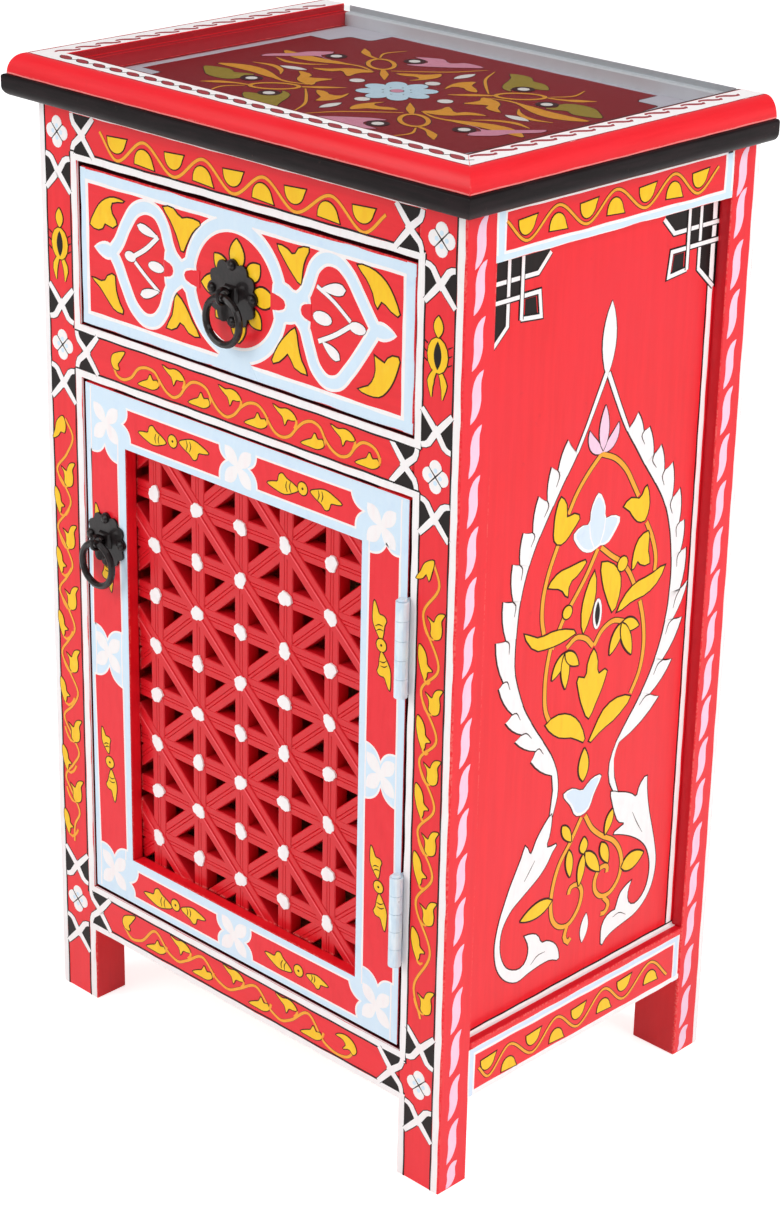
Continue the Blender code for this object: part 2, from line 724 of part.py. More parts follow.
def make_pull(label, centre, plate_radius, wood, back, carrier):
    """Rosette plate, four nails, staple and hanging ring on a piece of wood."""
    flat_to_front = Matrix.Rotation(math.pi / 2, 4, "X")
    plate_data = flat_outline(label + "_pull_plate", [plate_outline(plate_radius)], PLATE_THICKNESS)
    plate_data.transform(flat_to_front)
    plate_y = centre.y - FIT - PLATE_THICKNESS / 2
    plate = add_part(label + "_pull_plate", plate_data, BLACK_IRON, (centre.x, plate_y, centre.z), carrier)

    def build_boss(bm):
        bmesh.ops.create_cone(
            bm, cap_ends=True, segments=4, radius1=BOSS_SIZE / math.sqrt(2),
            radius2=BOSS_TOP_SIZE / math.sqrt(2), depth=BOSS_HEIGHT + PLATE_THICKNESS / 2,
            matrix=flat_to_front @ Matrix.Rotation(math.pi / 4, 4, "Z"))

    boss_y = plate_y - (BOSS_HEIGHT + PLATE_THICKNESS / 2) / 2
    boss = add_cutter(label + "_boss", mesh_from(label + "_boss", build_boss), (centre.x, boss_y, centre.z))
    fuse(plate, boss)
    slot_name = label + "_staple_slot"
    slot = add_cutter(slot_name, boxes_mesh(slot_name, [slot_span(centre, back)]))
    bores = nail_cutter(label + "_nail_bores", centre, plate_radius)
    for piece in (plate, wood):
        cut(piece, slot)
        cut(piece, bores)

    for number, (x, z) in enumerate(nail_places(plate_radius), start=1):
        name = f"{label}_pull_nail_{number}"
        head_y = centre.y - PLATE_THICKNESS - 2 * FIT
        nail = add_part(name, nail_mesh(name), BLACK_IRON, (centre.x + x, head_y, centre.z + z), carrier)
        nail.rotation_euler = (math.pi / 2, 0, 0)
        turned(nail, NAIL_SIDES)
        smooth(nail)

    staple = add_part(label + "_pull_staple",
                      wire_mesh(label + "_pull_staple", staple_points(centre, back), STAPLE_WIRE_RADIUS),
                      BLACK_IRON, (0, 0, 0), carrier)
    smooth(staple)

    axis = Vector((centre.x, centre.y - EYE_OFFSET, centre.z - RING_SEAT))
    swing = empty(label + "_ring_axis", axis, carrier)
    bpy.ops.mesh.primitive_torus_add(
        major_segments=RING_SEGMENTS, minor_segments=RING_BAR_SIDES, major_radius=RING_RADIUS,
        minor_radius=RING_BAR_RADIUS, location=(0, 0, 0), rotation=(0, 0, 0))
    torus = bpy.context.object
    ring_data = torus.data
    bpy.data.objects.remove(torus, do_unlink=True)
    ring_data.transform(flat_to_front)
    ring_data.transform(Matrix.Translation((0, 0, -RING_RADIUS)))
    ring = add_part(label + "_pull_ring", ring_data, BLACK_IRON, axis, swing)
    smooth(ring, RING_SMOOTH_ANGLE)


# Drawer

def make_drawer():
    """Drawer box on its runners, with its front in the opening."""
    carrier = empty("drawer_slide", Vector((0, FACE, DRAWER_BASE)))
    front_back = FACE + DRAWER_FRONT_THICKNESS
    side_top = DRAWER_BASE + DRAWER_SIDE_HEIGHT
    inside = DRAWER_HALF - DRAWER_SIDE_THICKNESS
    back_face = DRAWER_BACK_Y - DRAWER_SIDE_THICKNESS
    bottom_base = DRAWER_BASE + DRAWER_BOTTOM_RAISE
    bottom_low = (-inside - DRAWER_DADO + FIT, front_back - DRAWER_DADO + FIT, bottom_base)
    bottom_high = (inside + DRAWER_DADO - FIT, back_face + DRAWER_DADO - FIT,
                   bottom_base + DRAWER_BOTTOM_THICKNESS)
    back_low = (-inside - DRAWER_DADO + FIT, back_face, DRAWER_BASE)
    back_high = (inside + DRAWER_DADO - FIT, DRAWER_BACK_Y, side_top)
    front = board("drawer_front", (-DRAWER_HALF, FACE, DRAWER_FLOOR + DRAWER_SIDE_GAP),
                  (DRAWER_HALF, front_back, DRAWER_CEILING - DRAWER_TOP_GAP), RED_PAINT, carrier)
    bottom_cut = grown(bottom_low, bottom_high)
    side_cuts = []
    for sign, side_name in ((-1, "left"), (1, "right")):
        near, far = mirrored_span(sign, inside, DRAWER_HALF)
        low = (near, front_back - DRAWER_DADO, DRAWER_BASE)
        high = (far, DRAWER_BACK_Y, side_top)
        side = board("drawer_side_" + side_name, low, high, BARE_WOOD, carrier)
        cut_boxes(side, [bottom_cut])
        dado_name = "drawer_back_dado_" + side_name
        cut(side, add_cutter(dado_name, boxes_mesh(dado_name, [grown(back_low, back_high)])))
        side_cuts.append(grown(low, high))
    cut_boxes(front, side_cuts)
    groove_name = "drawer_front_groove"
    cut(front, add_cutter(groove_name, boxes_mesh(groove_name, [bottom_cut])))
    drawer_back = board("drawer_back", back_low, back_high, BARE_WOOD, carrier)
    cut_boxes(drawer_back, [bottom_cut])
    board("drawer_bottom", bottom_low, bottom_high, BARE_WOOD, carrier, edge=0)
    pull_z = (DRAWER_FLOOR + DRAWER_SIDE_GAP + DRAWER_CEILING - DRAWER_TOP_GAP) / 2
    make_pull("drawer", Vector((DRAWER_PULL_SHIFT, FACE, pull_z)), DRAWER_PLATE_RADIUS, front,
              front_back, carrier)


# Door

def inset_triangle(corners, inset):
    """Triangle shrunk about its incentre so that each side moves in by the same distance."""
    lengths = [math.dist(corners[1], corners[2]), math.dist(corners[2], corners[0]),
               math.dist(corners[0], corners[1])]
    around = sum(lengths)
    centre = [sum(length * corner[axis] for length, corner in zip(lengths, corners)) / around
              for axis in (0, 1)]
    area = abs((corners[1][0] - corners[0][0]) * (corners[2][1] - corners[0][1])
               - (corners[2][0] - corners[0][0]) * (corners[1][1] - corners[0][1])) / 2
    inradius = 2 * area / around
    share = (inradius - inset) / inradius
    return [tuple(centre[axis] + share * (corner[axis] - centre[axis]) for axis in (0, 1))
            for corner in corners]


def clip(points, axis, limit, keep_above):
    """Part of a convex outline on one side of a line along an axis."""
    kept = []
    for first, second in zip(points, points[1:] + points[:1]):
        first_in = (first[axis] >= limit) == keep_above
        second_in = (second[axis] >= limit) == keep_above
        if first_in:
            kept.append(first)
        if first_in != second_in:
            share = (limit - first[axis]) / (second[axis] - first[axis])
            kept.append(tuple(a + share * (b - a) for a, b in zip(first, second)))
    return kept


def outline_area(points):
    """Area of a flat outline."""
    pairs = zip(points, points[1:] + points[:1])
    return abs(sum(a[0] * b[1] - b[0] * a[1] for a, b in pairs)) / 2


def lattice_gaps(half_width, half_height):
    """Openings of the lattice: two triangles beside the diagonal bar of each cell."""
    columns = math.ceil(half_width / LATTICE_COLUMN_PITCH) + 1
    rows = math.ceil(half_height / LATTICE_ROW_PITCH) + 1
    gaps = []
    for column in range(-columns, columns):
        for row in range(-rows, rows):
            left = LATTICE_SHIFT_X + column * LATTICE_COLUMN_PITCH
            low = LATTICE_SHIFT_Z + (row + 0.5) * LATTICE_ROW_PITCH
            right = left + LATTICE_COLUMN_PITCH
            high = low + LATTICE_ROW_PITCH
            if (column + row) % 2 == 0:
                pair = [((left, low), (right, high), (left, high)), ((left, low), (right, low), (right, high))]
            else:
                pair = [((left, low), (right, low), (left, high)), ((right, low), (right, high), (left, high))]
            for corners in pair:
                gap = inset_triangle(corners, LATTICE_BAR_WIDTH / 2)
                for axis, limit in ((0, half_width), (1, half_height)):
                    gap = clip(gap, axis, -limit, True)
                    gap = clip(gap, axis, limit, False) if gap else gap
                if len(gap) > 2 and outline_area(gap) > LATTICE_SMALLEST_GAP:
                    gaps.append(gap)
    return gaps


def make_lattice(carrier):
    """Lattice sheet in the rebate of the door frame."""
    half_width = (LATTICE_RIGHT - LATTICE_LEFT) / 2
    half_height = (LATTICE_TOP - LATTICE_BASE) / 2
    margin = LATTICE_REBATE - FIT
    outer_x = half_width + margin
    outer_z = half_height + margin
    border = [(-outer_x, -outer_z), (outer_x, -outer_z), (outer_x, outer_z), (-outer_x, outer_z)]
    gaps = lattice_gaps(half_width + LATTICE_GAP_REACH, half_height + LATTICE_GAP_REACH)
    mesh = flat_outline("door_lattice", [border] + gaps, LATTICE_THICKNESS)
    mesh.transform(Matrix.Rotation(math.pi / 2, 4, "X"))
    middle = Vector(((LATTICE_LEFT + LATTICE_RIGHT) / 2, LATTICE_FACE + LATTICE_THICKNESS / 2,
                     (LATTICE_BASE + LATTICE_TOP) / 2))
    add_part("door_lattice", mesh, RED_PAINT, middle, carrier)


def rebate_span():
    """Space for the lattice sheet, open to the back of the door."""
    low = (LATTICE_LEFT - LATTICE_REBATE, LATTICE_FACE - FIT, LATTICE_BASE - LATTICE_REBATE)
    high = (LATTICE_RIGHT + LATTICE_REBATE, DOOR_BACK + LATTICE_RECESS, LATTICE_TOP + LATTICE_REBATE)
    return low, high


def make_door():
    """Framed door with its lattice, hung on two barrel hinges at the right."""
    carrier = empty("door_axis", Vector((HINGE_X, HINGE_Y, (DOOR_BASE + DOOR_TOP) / 2)))
    rails = {
        "door_rail_bottom": (DOOR_BASE, LATTICE_BASE),
        "door_rail_top": (LATTICE_TOP, DOOR_TOP),
    }
    tenons = {}
    for name, levels in rails.items():
        low = (LATTICE_LEFT + FIT - TENON_LENGTH, FACE + DOOR_TENON_INSET, levels[0] + TENON_SHOULDER)
        high = (LATTICE_RIGHT - FIT + TENON_LENGTH, FACE + DOOR_TENON_INSET + DOOR_TENON_THICKNESS,
                levels[1] - TENON_SHOULDER)
        tenons[name] = (low, high)
    stiles = {
        "door_stile_left": (DOOR_LEFT, LATTICE_LEFT),
        "door_stile_right": (LATTICE_RIGHT, DOOR_RIGHT),
    }
    made = {}
    for name, (near, far) in stiles.items():
        stile = board(name, (near, FACE, DOOR_BASE), (far, DOOR_BACK, DOOR_TOP), RED_PAINT, carrier)
        cut_boxes(stile, [grown(*span) for span in tenons.values()])
        made[name] = stile
    for name, levels in rails.items():
        rail = board(name, (LATTICE_LEFT + FIT, FACE, levels[0]), (LATTICE_RIGHT - FIT, DOOR_BACK, levels[1]),
                     RED_PAINT, carrier)
        fuse_box(rail, *tenons[name], "tenons")
        made[name] = rail
    for name, piece in made.items():
        rebate_name = name + "_rebate"
        cut(piece, add_cutter(rebate_name, boxes_mesh(rebate_name, [rebate_span()])))
    make_lattice(carrier)
    pull = Vector(((DOOR_LEFT + LATTICE_LEFT) / 2, FACE, DOOR_TOP - DOOR_PULL_DROP))
    make_pull("door", pull, DOOR_PLATE_RADIUS, made["door_stile_left"], DOOR_BACK, carrier)
    make_hinge("upper", DOOR_TOP - HINGE_INSET, carrier)
    make_hinge("lower", DOOR_BASE + HINGE_INSET, carrier)


# Hinges

def knuckle_levels(middle):
    """Height ranges of the knuckles, from the top down."""
    pitch = (HINGE_HEIGHT + FIT) / KNUCKLE_COUNT
    top = middle + HINGE_HEIGHT / 2
    return [(top - number * pitch - (pitch - FIT), top - number * pitch) for number in range(KNUCKLE_COUNT)]


def make_leaf(name, near, far, levels, middle, carrier):
    """Leaf in the gap beside the door, with its knuckles round the pin."""
    leaf = board(name, (near, FRONT, middle - HINGE_HEIGHT / 2),
                 (far, FRONT + LEAF_DEPTH, middle + HINGE_HEIGHT / 2), BLUE_PAINT, carrier, edge=0)
    neck_name = name + "_necks"
    necks = [((near, HINGE_Y, low), (far, FRONT + LEAF_THICKNESS, high)) for low, high in levels]
    fuse(leaf, add_cutter(neck_name, boxes_mesh(neck_name, necks)))
    straight = Matrix.Identity(4)
    knuckle_name = name + "_knuckles"
    centres = [Vector((HINGE_X, HINGE_Y, (low + high) / 2)) for low, high in levels]
    length = levels[0][1] - levels[0][0]
    knuckles = cylinders_mesh(knuckle_name, centres, BARREL_RADIUS, length, straight, KNUCKLE_SIDES)
    fuse(leaf, add_cutter(knuckle_name, knuckles))
    bore_name = name + "_bore"
    bore = cylinders_mesh(bore_name, [Vector((HINGE_X, HINGE_Y, middle))], HINGE_PIN_RADIUS + FIT,
                          HINGE_HEIGHT + 2 * HINGE_BORE_OVERRUN, straight, KNUCKLE_SIDES)
    cut(leaf, add_cutter(bore_name, bore))


def make_hinge(label, middle, carrier):
    """Barrel hinge: leaf on the post, leaf on the door and the pin."""
    levels = knuckle_levels(middle)
    make_leaf("hinge_" + label + "_post_leaf", INNER - FIT - LEAF_THICKNESS, INNER - FIT, levels[0::2],
              middle, None)
    make_leaf("hinge_" + label + "_door_leaf", DOOR_RIGHT + FIT, DOOR_RIGHT + FIT + LEAF_THICKNESS,
              levels[1::2], middle, carrier)
    half = HINGE_HEIGHT / 2
    top = half + FIT + HINGE_PIN_HEAD_HEIGHT
    profile = [(0.0, top), (HINGE_PIN_CROWN_RADIUS, top), (HINGE_PIN_HEAD_RADIUS, half + FIT),
               (HINGE_PIN_RADIUS, half + FIT), (HINGE_PIN_RADIUS, -half), (0.0, -half)]
    name = "hinge_" + label + "_pin"
    pin = add_part(name, profile_mesh(name, profile), BLUE_PAINT, (HINGE_X, HINGE_Y, middle))
    turned(pin, KNUCKLE_SIDES)
    smooth(pin)


make_posts()
make_cross_rails()
make_side_rails()
make_panels()
make_runners()
make_door_stop()
make_top_board()
make_rims()
make_glass()
make_drawer()
make_door()
bpy.context.view_layer.update()
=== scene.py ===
"""The painted nightstand dressed: lacquered boards, ornament laid on as thin raised paint, moulded lattice
bars, rounded top mouldings, forged ring pulls, and a glass pane over the painted top.

Ornament is drawn on flat sheets in millimetres. On the front, the drawer and the door a point is (x, z),
with x from the middle of the stand and z from the floor. On the sides it is (s, z), with s from the front
edge. On the top it is (x, y).
"""
import json
import math

import bpy
import numpy as np
from mathutils import Matrix, Vector


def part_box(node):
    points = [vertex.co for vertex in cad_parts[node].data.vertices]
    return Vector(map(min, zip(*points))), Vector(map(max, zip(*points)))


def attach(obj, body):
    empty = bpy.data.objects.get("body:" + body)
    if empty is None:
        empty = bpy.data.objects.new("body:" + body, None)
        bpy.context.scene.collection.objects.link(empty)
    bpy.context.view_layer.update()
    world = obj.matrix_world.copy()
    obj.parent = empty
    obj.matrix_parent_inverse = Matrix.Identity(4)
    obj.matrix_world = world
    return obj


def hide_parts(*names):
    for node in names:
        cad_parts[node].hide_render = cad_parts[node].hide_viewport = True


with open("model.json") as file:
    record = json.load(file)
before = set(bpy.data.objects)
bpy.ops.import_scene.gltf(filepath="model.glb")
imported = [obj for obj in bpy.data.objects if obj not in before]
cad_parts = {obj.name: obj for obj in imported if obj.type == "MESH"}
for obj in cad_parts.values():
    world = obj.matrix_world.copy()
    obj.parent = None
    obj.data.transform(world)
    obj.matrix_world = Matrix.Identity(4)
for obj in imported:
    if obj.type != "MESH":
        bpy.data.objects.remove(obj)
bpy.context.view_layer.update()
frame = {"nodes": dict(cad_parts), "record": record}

MM = 0.001

# Faces of the stand, read from the frame, in metres
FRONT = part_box("post_front_left")[0].y
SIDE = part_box("post_front_right")[1].x
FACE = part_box("drawer_front")[0].y
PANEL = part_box("panel_right")[1].x
BOARD_LOW, BOARD_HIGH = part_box("top_board")
RIM_LOW, RIM_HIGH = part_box("rim_front")
GLASS_LOW, GLASS_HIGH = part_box("glass_pane")
LATTICE_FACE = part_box("door_lattice")[0].y
LATTICE_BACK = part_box("door_lattice")[1].y
LATTICE_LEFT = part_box("door_stile_left")[1].x
LATTICE_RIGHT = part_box("door_stile_right")[0].x
LATTICE_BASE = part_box("door_rail_bottom")[1].z
LATTICE_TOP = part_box("door_rail_top")[0].z

# Heights of paint layers over the wood, in millimetres
SUNK = -0.06
FILM = 0.05
GROUND = 0.06
LOW = 0.12
MID = 0.18
HIGH = 0.24
TOP = 0.32
LINE_UNDER = 0.05


class Sheet:
    """A flat drawing sheet on one face: carries drawing millimetres and a height off the face to metres."""

    def __init__(self, name, body, origin, right, up, off, stretch=1.0, about=0.0, shift=0.0):
        self.name = name
        self.body = body
        self.origin = np.array(origin, float)
        self.right = np.array(right, float)
        self.up = np.array(up, float)
        self.off = np.array(off, float)
        self.turned = np.dot(np.cross(self.right, self.up), self.off) < 0
        self.stretch = stretch
        self.about = about
        self.shift = shift
        self.marks = 0

    def place(self, points, height):
        """Origin, plus right times the first coordinate, up times the second and off times the height."""
        points = np.asarray(points, float)
        across = self.about + (points[..., 0:1] - self.about) * self.stretch + self.shift
        lift = np.broadcast_to(np.asarray(height, float), points.shape[:-1])[..., None]
        return self.origin + MM * (across * self.right + points[..., 1:2] * self.up + lift * self.off)


X_AXIS = (1, 0, 0)
Y_AXIS = (0, 1, 0)
Z_AXIS = (0, 0, 1)
LEFTWARD = (-1, 0, 0)
FORWARD = (0, -1, 0)
FRONT_SHEET = Sheet("front", "carcass", (0, FRONT, 0), X_AXIS, Z_AXIS, FORWARD)
DRAWER_SHEET = Sheet("drawer", "drawer", (0, FACE, 0), X_AXIS, Z_AXIS, FORWARD, shift=1.7)
DOOR_SHEET = Sheet("door", "door", (0, FACE, 0), X_AXIS, Z_AXIS, FORWARD, stretch=0.9928, about=137.5)
LATTICE_SHEET = Sheet("lattice", "door", (0, LATTICE_FACE, 0), X_AXIS, Z_AXIS, FORWARD)
RIGHT_SHEET = Sheet("right_side", "carcass", (SIDE, FRONT, 0), Y_AXIS, Z_AXIS, X_AXIS)
LEFT_SHEET = Sheet("left_side", "carcass", (-SIDE, FRONT, 0), Y_AXIS, Z_AXIS, LEFTWARD)
RIGHT_PANEL_SHEET = Sheet("right_panel", "carcass", (PANEL, FRONT, 0), Y_AXIS, Z_AXIS, X_AXIS)
LEFT_PANEL_SHEET = Sheet("left_panel", "carcass", (-PANEL, FRONT, 0), Y_AXIS, Z_AXIS, LEFTWARD)
TABLE_SHEET = Sheet("table", "carcass", (0, 0, BOARD_HIGH.z), X_AXIS, Y_AXIS, Z_AXIS)

# Paint waiting to be gathered: (sheet name, body, colour) to a list of vertices and faces
POTS = {}

# Each mark lies this much over the one before, in millimetres, so that no two marks share a plane
LAYING_STEP = 0.006
# Marks that cross one another are parted by this much, in millimetres
CROSSING_STEP = 0.095


def pour(sheet, colour, points, heights, faces):
    """Keep one brush mark for the piece of its sheet and colour; mirrored sheets turn the faces."""
    heights = np.asarray(heights, float)
    sheet.marks = (sheet.marks + 1) % 7
    placed = sheet.place(points, heights + (heights > 0) * LAYING_STEP * sheet.marks)
    marks = [face[::-1] for face in faces] if sheet.turned else faces
    POTS.setdefault((sheet.name, sheet.body, colour), []).append((placed, marks))


def smooth_path(points, samples, closed=False):
    """Cubic Hermite curve through the points by chord length, with slopes from the neighbouring points."""
    knots_at = np.asarray(points, float)
    if closed:
        knots_at = np.vstack([knots_at[-1:], knots_at, knots_at[:2]])
    chord = np.maximum(np.linalg.norm(np.diff(knots_at, axis=0), axis=1), 1e-6)
    knots = np.concatenate([[0.0], np.cumsum(chord)])
    slope = np.gradient(knots_at, knots, axis=0)
    first, last = (knots[1], knots[-2]) if closed else (knots[0], knots[-1])
    t = np.linspace(first, last, samples, endpoint=not closed)
    k = np.clip(np.searchsorted(knots, t, side="right") - 1, 0, len(knots) - 2)
    gap = (knots[k + 1] - knots[k])[:, None]
    x = (t - knots[k])[:, None] / gap
    return (
        (2 * x**3 - 3 * x**2 + 1) * knots_at[k]
        + (x**3 - 2 * x**2 + x) * gap * slope[k]
        + (3 * x**2 - 2 * x**3) * knots_at[k + 1]
        + (x**3 - x**2) * gap * slope[k + 1]
    )


def path_sides(path, closed=False):
    """Left-hand normals of a path, lengthened at corners so that mitred bands keep their width."""
    if closed:
        before = path - np.roll(path, 1, axis=0)
        after = np.roll(path, -1, axis=0) - path
    else:
        step = np.diff(path, axis=0)
        before = np.vstack([step[:1], step])
        after = np.vstack([step, step[-1:]])
    before = before / np.maximum(np.linalg.norm(before, axis=1, keepdims=True), 1e-9)
    after = after / np.maximum(np.linalg.norm(after, axis=1, keepdims=True), 1e-9)
    mean = before + after
    mean = mean / np.maximum(np.linalg.norm(mean, axis=1, keepdims=True), 1e-9)
    cosine = np.clip(np.sum(mean * after, axis=1, keepdims=True), 0.5, 1.0)
    return np.stack([-mean[:, 1], mean[:, 0]], axis=1) / cosine


def ribbon(sheet, colour, path, widths, height, closed=False):
    """A flat-topped section, half the width to each side and narrower on top, carried along a path."""
    count = len(path)
    side = path_sides(path, closed) * (np.broadcast_to(widths, (count,))[:, None] / 2)
    across = np.array([1.0, 0.84, -0.84, -1.0])
    lift = np.array([SUNK, height, height, SUNK])
    points = path[:, None, :] + across[None, :, None] * side[:, None, :]
    ring = np.arange(count if closed else count - 1)[:, None]
    corner = np.arange(4)[None, :]
    here, there = ring * 4, ((ring + 1) % count) * 4
    turn = (corner + 1) % 4
    quads = np.stack([here + corner, here + turn, there + turn, there + corner], axis=-1).reshape(-1, 4)
    faces = quads.tolist()
    if not closed:
        last = (count - 1) * 4
        faces += [[3, 2, 1, 0], [last, last + 1, last + 2, last + 3]]
    pour(sheet, colour, points.reshape(-1, 2), np.tile(lift, count), faces)


def stroke(sheet, colour, points, width, height, closed=False, sharp=False, edge=0.0, edge_colour="outline"):
    """A brush line through the points, of one width or a list along it; an edge is a wider line below."""
    points = np.asarray(points, float)
    length = np.sum(np.linalg.norm(np.diff(points, axis=0), axis=1))
    samples = int(np.clip(length / 2.4, 6, 120))
    path = points if sharp else smooth_path(points, samples, closed)
    given = np.atleast_1d(np.asarray(width, float))
    widths = np.interp(np.linspace(0, 1, len(path)), np.linspace(0, 1, len(given)), given)
    if edge:
        ribbon(sheet, edge_colour, path, widths + 2 * edge, height - LINE_UNDER, closed)
    ribbon(sheet, colour, path, widths, height, closed)


def band(sheet, colour, start, end, width, height):
    """A straight painted strip whose edges waver a little, as drawn along a rule by hand."""
    start = np.asarray(start, float)
    end = np.asarray(end, float)
    length = np.linalg.norm(end - start)
    t = np.linspace(0, 1, max(3, int(length / 7)))[:, None]
    path = start + t * (end - start)
    along = t[:, 0] * length
    phase = start[0] * 0.7 + start[1] * 0.3
    waver = 0.13 * np.sin(along * 0.21 + phase) + 0.09 * np.sin(along * 0.083 + 2 * phase)
    path = path + path_sides(path) * waver[:, None]
    ribbon(sheet, colour, path, width * (1 + 0.05 * np.sin(along * 0.13 + phase)), height)


def fill(sheet, colour, outline, height, edge=0.0, edge_colour="outline"):
    """A filled shape: a wall from the sunk outline to a flat top drawn in by a hair, and an underside."""
    ring = np.asarray(outline, float)
    after = np.roll(ring, -1, axis=0)
    if np.sum(ring[:, 0] * after[:, 1] - ring[:, 1] * after[:, 0]) < 0:
        ring = ring[::-1]
    inward = path_sides(ring, True)
    if edge:
        fill(sheet, edge_colour, ring - inward * edge, height - LINE_UNDER)
    count = len(ring)
    points = np.vstack([ring, ring + inward * 0.06])
    heights = np.concatenate([np.full(count, SUNK), np.full(count, height)])
    i = np.arange(count)
    j = (i + 1) % count
    faces = np.stack([i, j, j + count, i + count], axis=1).tolist()
    faces += [list(range(count, 2 * count)), list(range(count))[::-1]]
    pour(sheet, colour, points, heights, faces)


def arcs(corners, steps=6):
    """Closed outline of parabolic arcs; each corner carries the outward bulge of the side after it."""
    corner = np.asarray(corners, float)
    start = corner[:, None, :2]
    side = np.roll(corner, -1, axis=0)[:, None, :2] - start
    ahead = np.roll(corner, -1, axis=0)
    turn = np.sign(np.sum(corner[:, 0] * ahead[:, 1] - corner[:, 1] * ahead[:, 0]))
    t = (np.arange(steps) / steps)[None, :, None]
    out = turn * np.stack([side[..., 1], -side[..., 0]], axis=-1)
    return (start + t * side + 4 * t * (1 - t) * corner[:, None, 2:3] * out).reshape(-1, 2)


def soft_outline(points, per_side=3):
    """Closed smooth outline through the points."""
    return smooth_path(points, per_side * len(points), closed=True)


def drawn_in(outline, share):
    """The outline drawn in towards the mean of its points, to a share of its size."""
    points = np.asarray(outline, float)
    heart = np.mean(points, axis=0)
    return heart + share * (points - heart)


def blade(sheet, colour, base, tip, width, height, bend=0.0, belly=0.45, edge=0.0, steps=9):
    """A pointed leaf along a bowed middle line; the width is a sine that peaks at the belly."""
    base = np.asarray(base, float)
    side = np.asarray(tip, float) - base
    t = np.linspace(0, 1, steps)
    left = np.array([-side[1], side[0]])
    path = base + t[:, None] * side + (4 * bend * t * (1 - t))[:, None] * left
    shape = np.maximum(np.sin(np.pi * t ** (math.log(0.5) / math.log(belly))), 0.0) ** 0.8
    if edge:
        longer = path + np.outer((t - 0.5) * 2 * edge / max(np.linalg.norm(side), 1e-6), side)
        ribbon(sheet, "outline", longer, width * shape + 2 * edge, height - LINE_UNDER)
    ribbon(sheet, colour, path, width * shape + 0.12, height)


def oval(sheet, colour, centre, wide, tall, height, edge=0.0, turn=0.0, points=14):
    """An ellipse of the given full width and height, turned by an angle in degrees."""
    angle = np.linspace(0, 2 * np.pi, points, endpoint=False)
    flat = np.stack([np.cos(angle) * wide / 2, np.sin(angle) * tall / 2], axis=1)
    c, s = math.cos(math.radians(turn)), math.sin(math.radians(turn))
    outline = flat @ np.array([[c, s], [-s, c]]) + np.asarray(centre, float)
    fill(sheet, colour, outline, height, edge)


def panel_fill(sheet, colour, low, high, height):
    """A plain rectangle of ground colour between two corners."""
    (x0, y0), (x1, y1) = low, high
    fill(sheet, colour, arcs([(x0, y0, 0), (x1, y0, 0), (x1, y1, 0), (x0, y1, 0)], 2), height)


def frame_lines(sheet, colour, low, high, width, height):
    """Four straight strips, each centred on a side of the rectangle between two corners."""
    (x0, y0), (x1, y1) = low, high
    reach = width / 2
    band(sheet, colour, (x0 - reach, y0), (x1 + reach, y0), width, height)
    band(sheet, colour, (x0 - reach, y1), (x1 + reach, y1), width, height)
    band(sheet, colour, (x0, y0 - reach), (x0, y1 + reach), width, height + 0.01)
    band(sheet, colour, (x1, y0 - reach), (x1, y1 + reach), width, height + 0.01)


# Vine leaves by their base, in millimetres: lying under a crest, hanging over a trough, and rising up a post
LEAF_UNDER = [(-18, 0.2), (-13, 3.2), (-9.5, 4.8), (-7, 8.6), (-4.6, 5.4), (-0.9, 6.2), (0.5, 3.0),
              (-3.2, 0.2), (-11, -0.4)]
LEAF_OVER = [(-18.5, 0.2), (-13, -0.9), (-8, 0.3), (-3, -0.8), (0.3, -4.4), (-3, -5.6), (-6.6, -5.9),
             (-9, -9.8), (-10.8, -5.4), (-14, -3.4)]
LEAF_RISING = [(0, 0), (4.4, 1.6), (5.8, 7.4), (5.2, 12.2), (7.6, 17.0), (3.2, 16.0), (0.8, 12.8),
               (-0.2, 10.2), (-5.2, 11.8), (-3.0, 9.2), (-2.4, 5.8), (-2.6, 2.2)]
LEAF_LEANING = [(0, 0), (-2.6, 3.6), (-4.6, 9), (-5.6, 15), (-4.6, 20.6), (-1, 18), (1.0, 13.7), (1.5, 9.8),
                (5.4, 6.9), (1.8, 5.2), (1.2, 1.6)]
# Widths along the branch that carries a leaf, on the posts and on the rails
POST_BRANCH = [1.6, 1.8, 1.8, 0.7]
RAIL_BRANCH = [2.0, 2.0, 0.8]


def vine_leaf(sheet, outline, base, size=1.0, turn=0.0, height=HIGH):
    """A yellow leaf with a spur: the outline sized, turned by degrees and moved to the base."""
    shape = np.asarray(outline, float) * size
    c, s = math.cos(math.radians(turn)), math.sin(math.radians(turn))
    fill(sheet, "yellow", soft_outline(shape @ np.array([[c, s], [-s, c]]) + base, 3), height, edge=0.6)


def moon(sheet, left, right, flat, deep):
    """A half-moon: a flat side from left to right and half an ellipse reaching the given depth."""
    angle = np.linspace(0, np.pi, 13)
    middle, half = (left + right) / 2, (right - left) / 2
    bend = 0.06 * (flat - deep) * np.sin(angle) ** 0.5 * np.cos(angle)
    ring = np.stack([middle + half * np.cos(angle), flat + (deep - flat) * np.sin(angle) ** 0.9 + bend],
                    axis=1)
    ring[0] += (1.3, 0.12 * (flat - deep))
    fill(sheet, "yellow", ring, HIGH, edge=0.7)


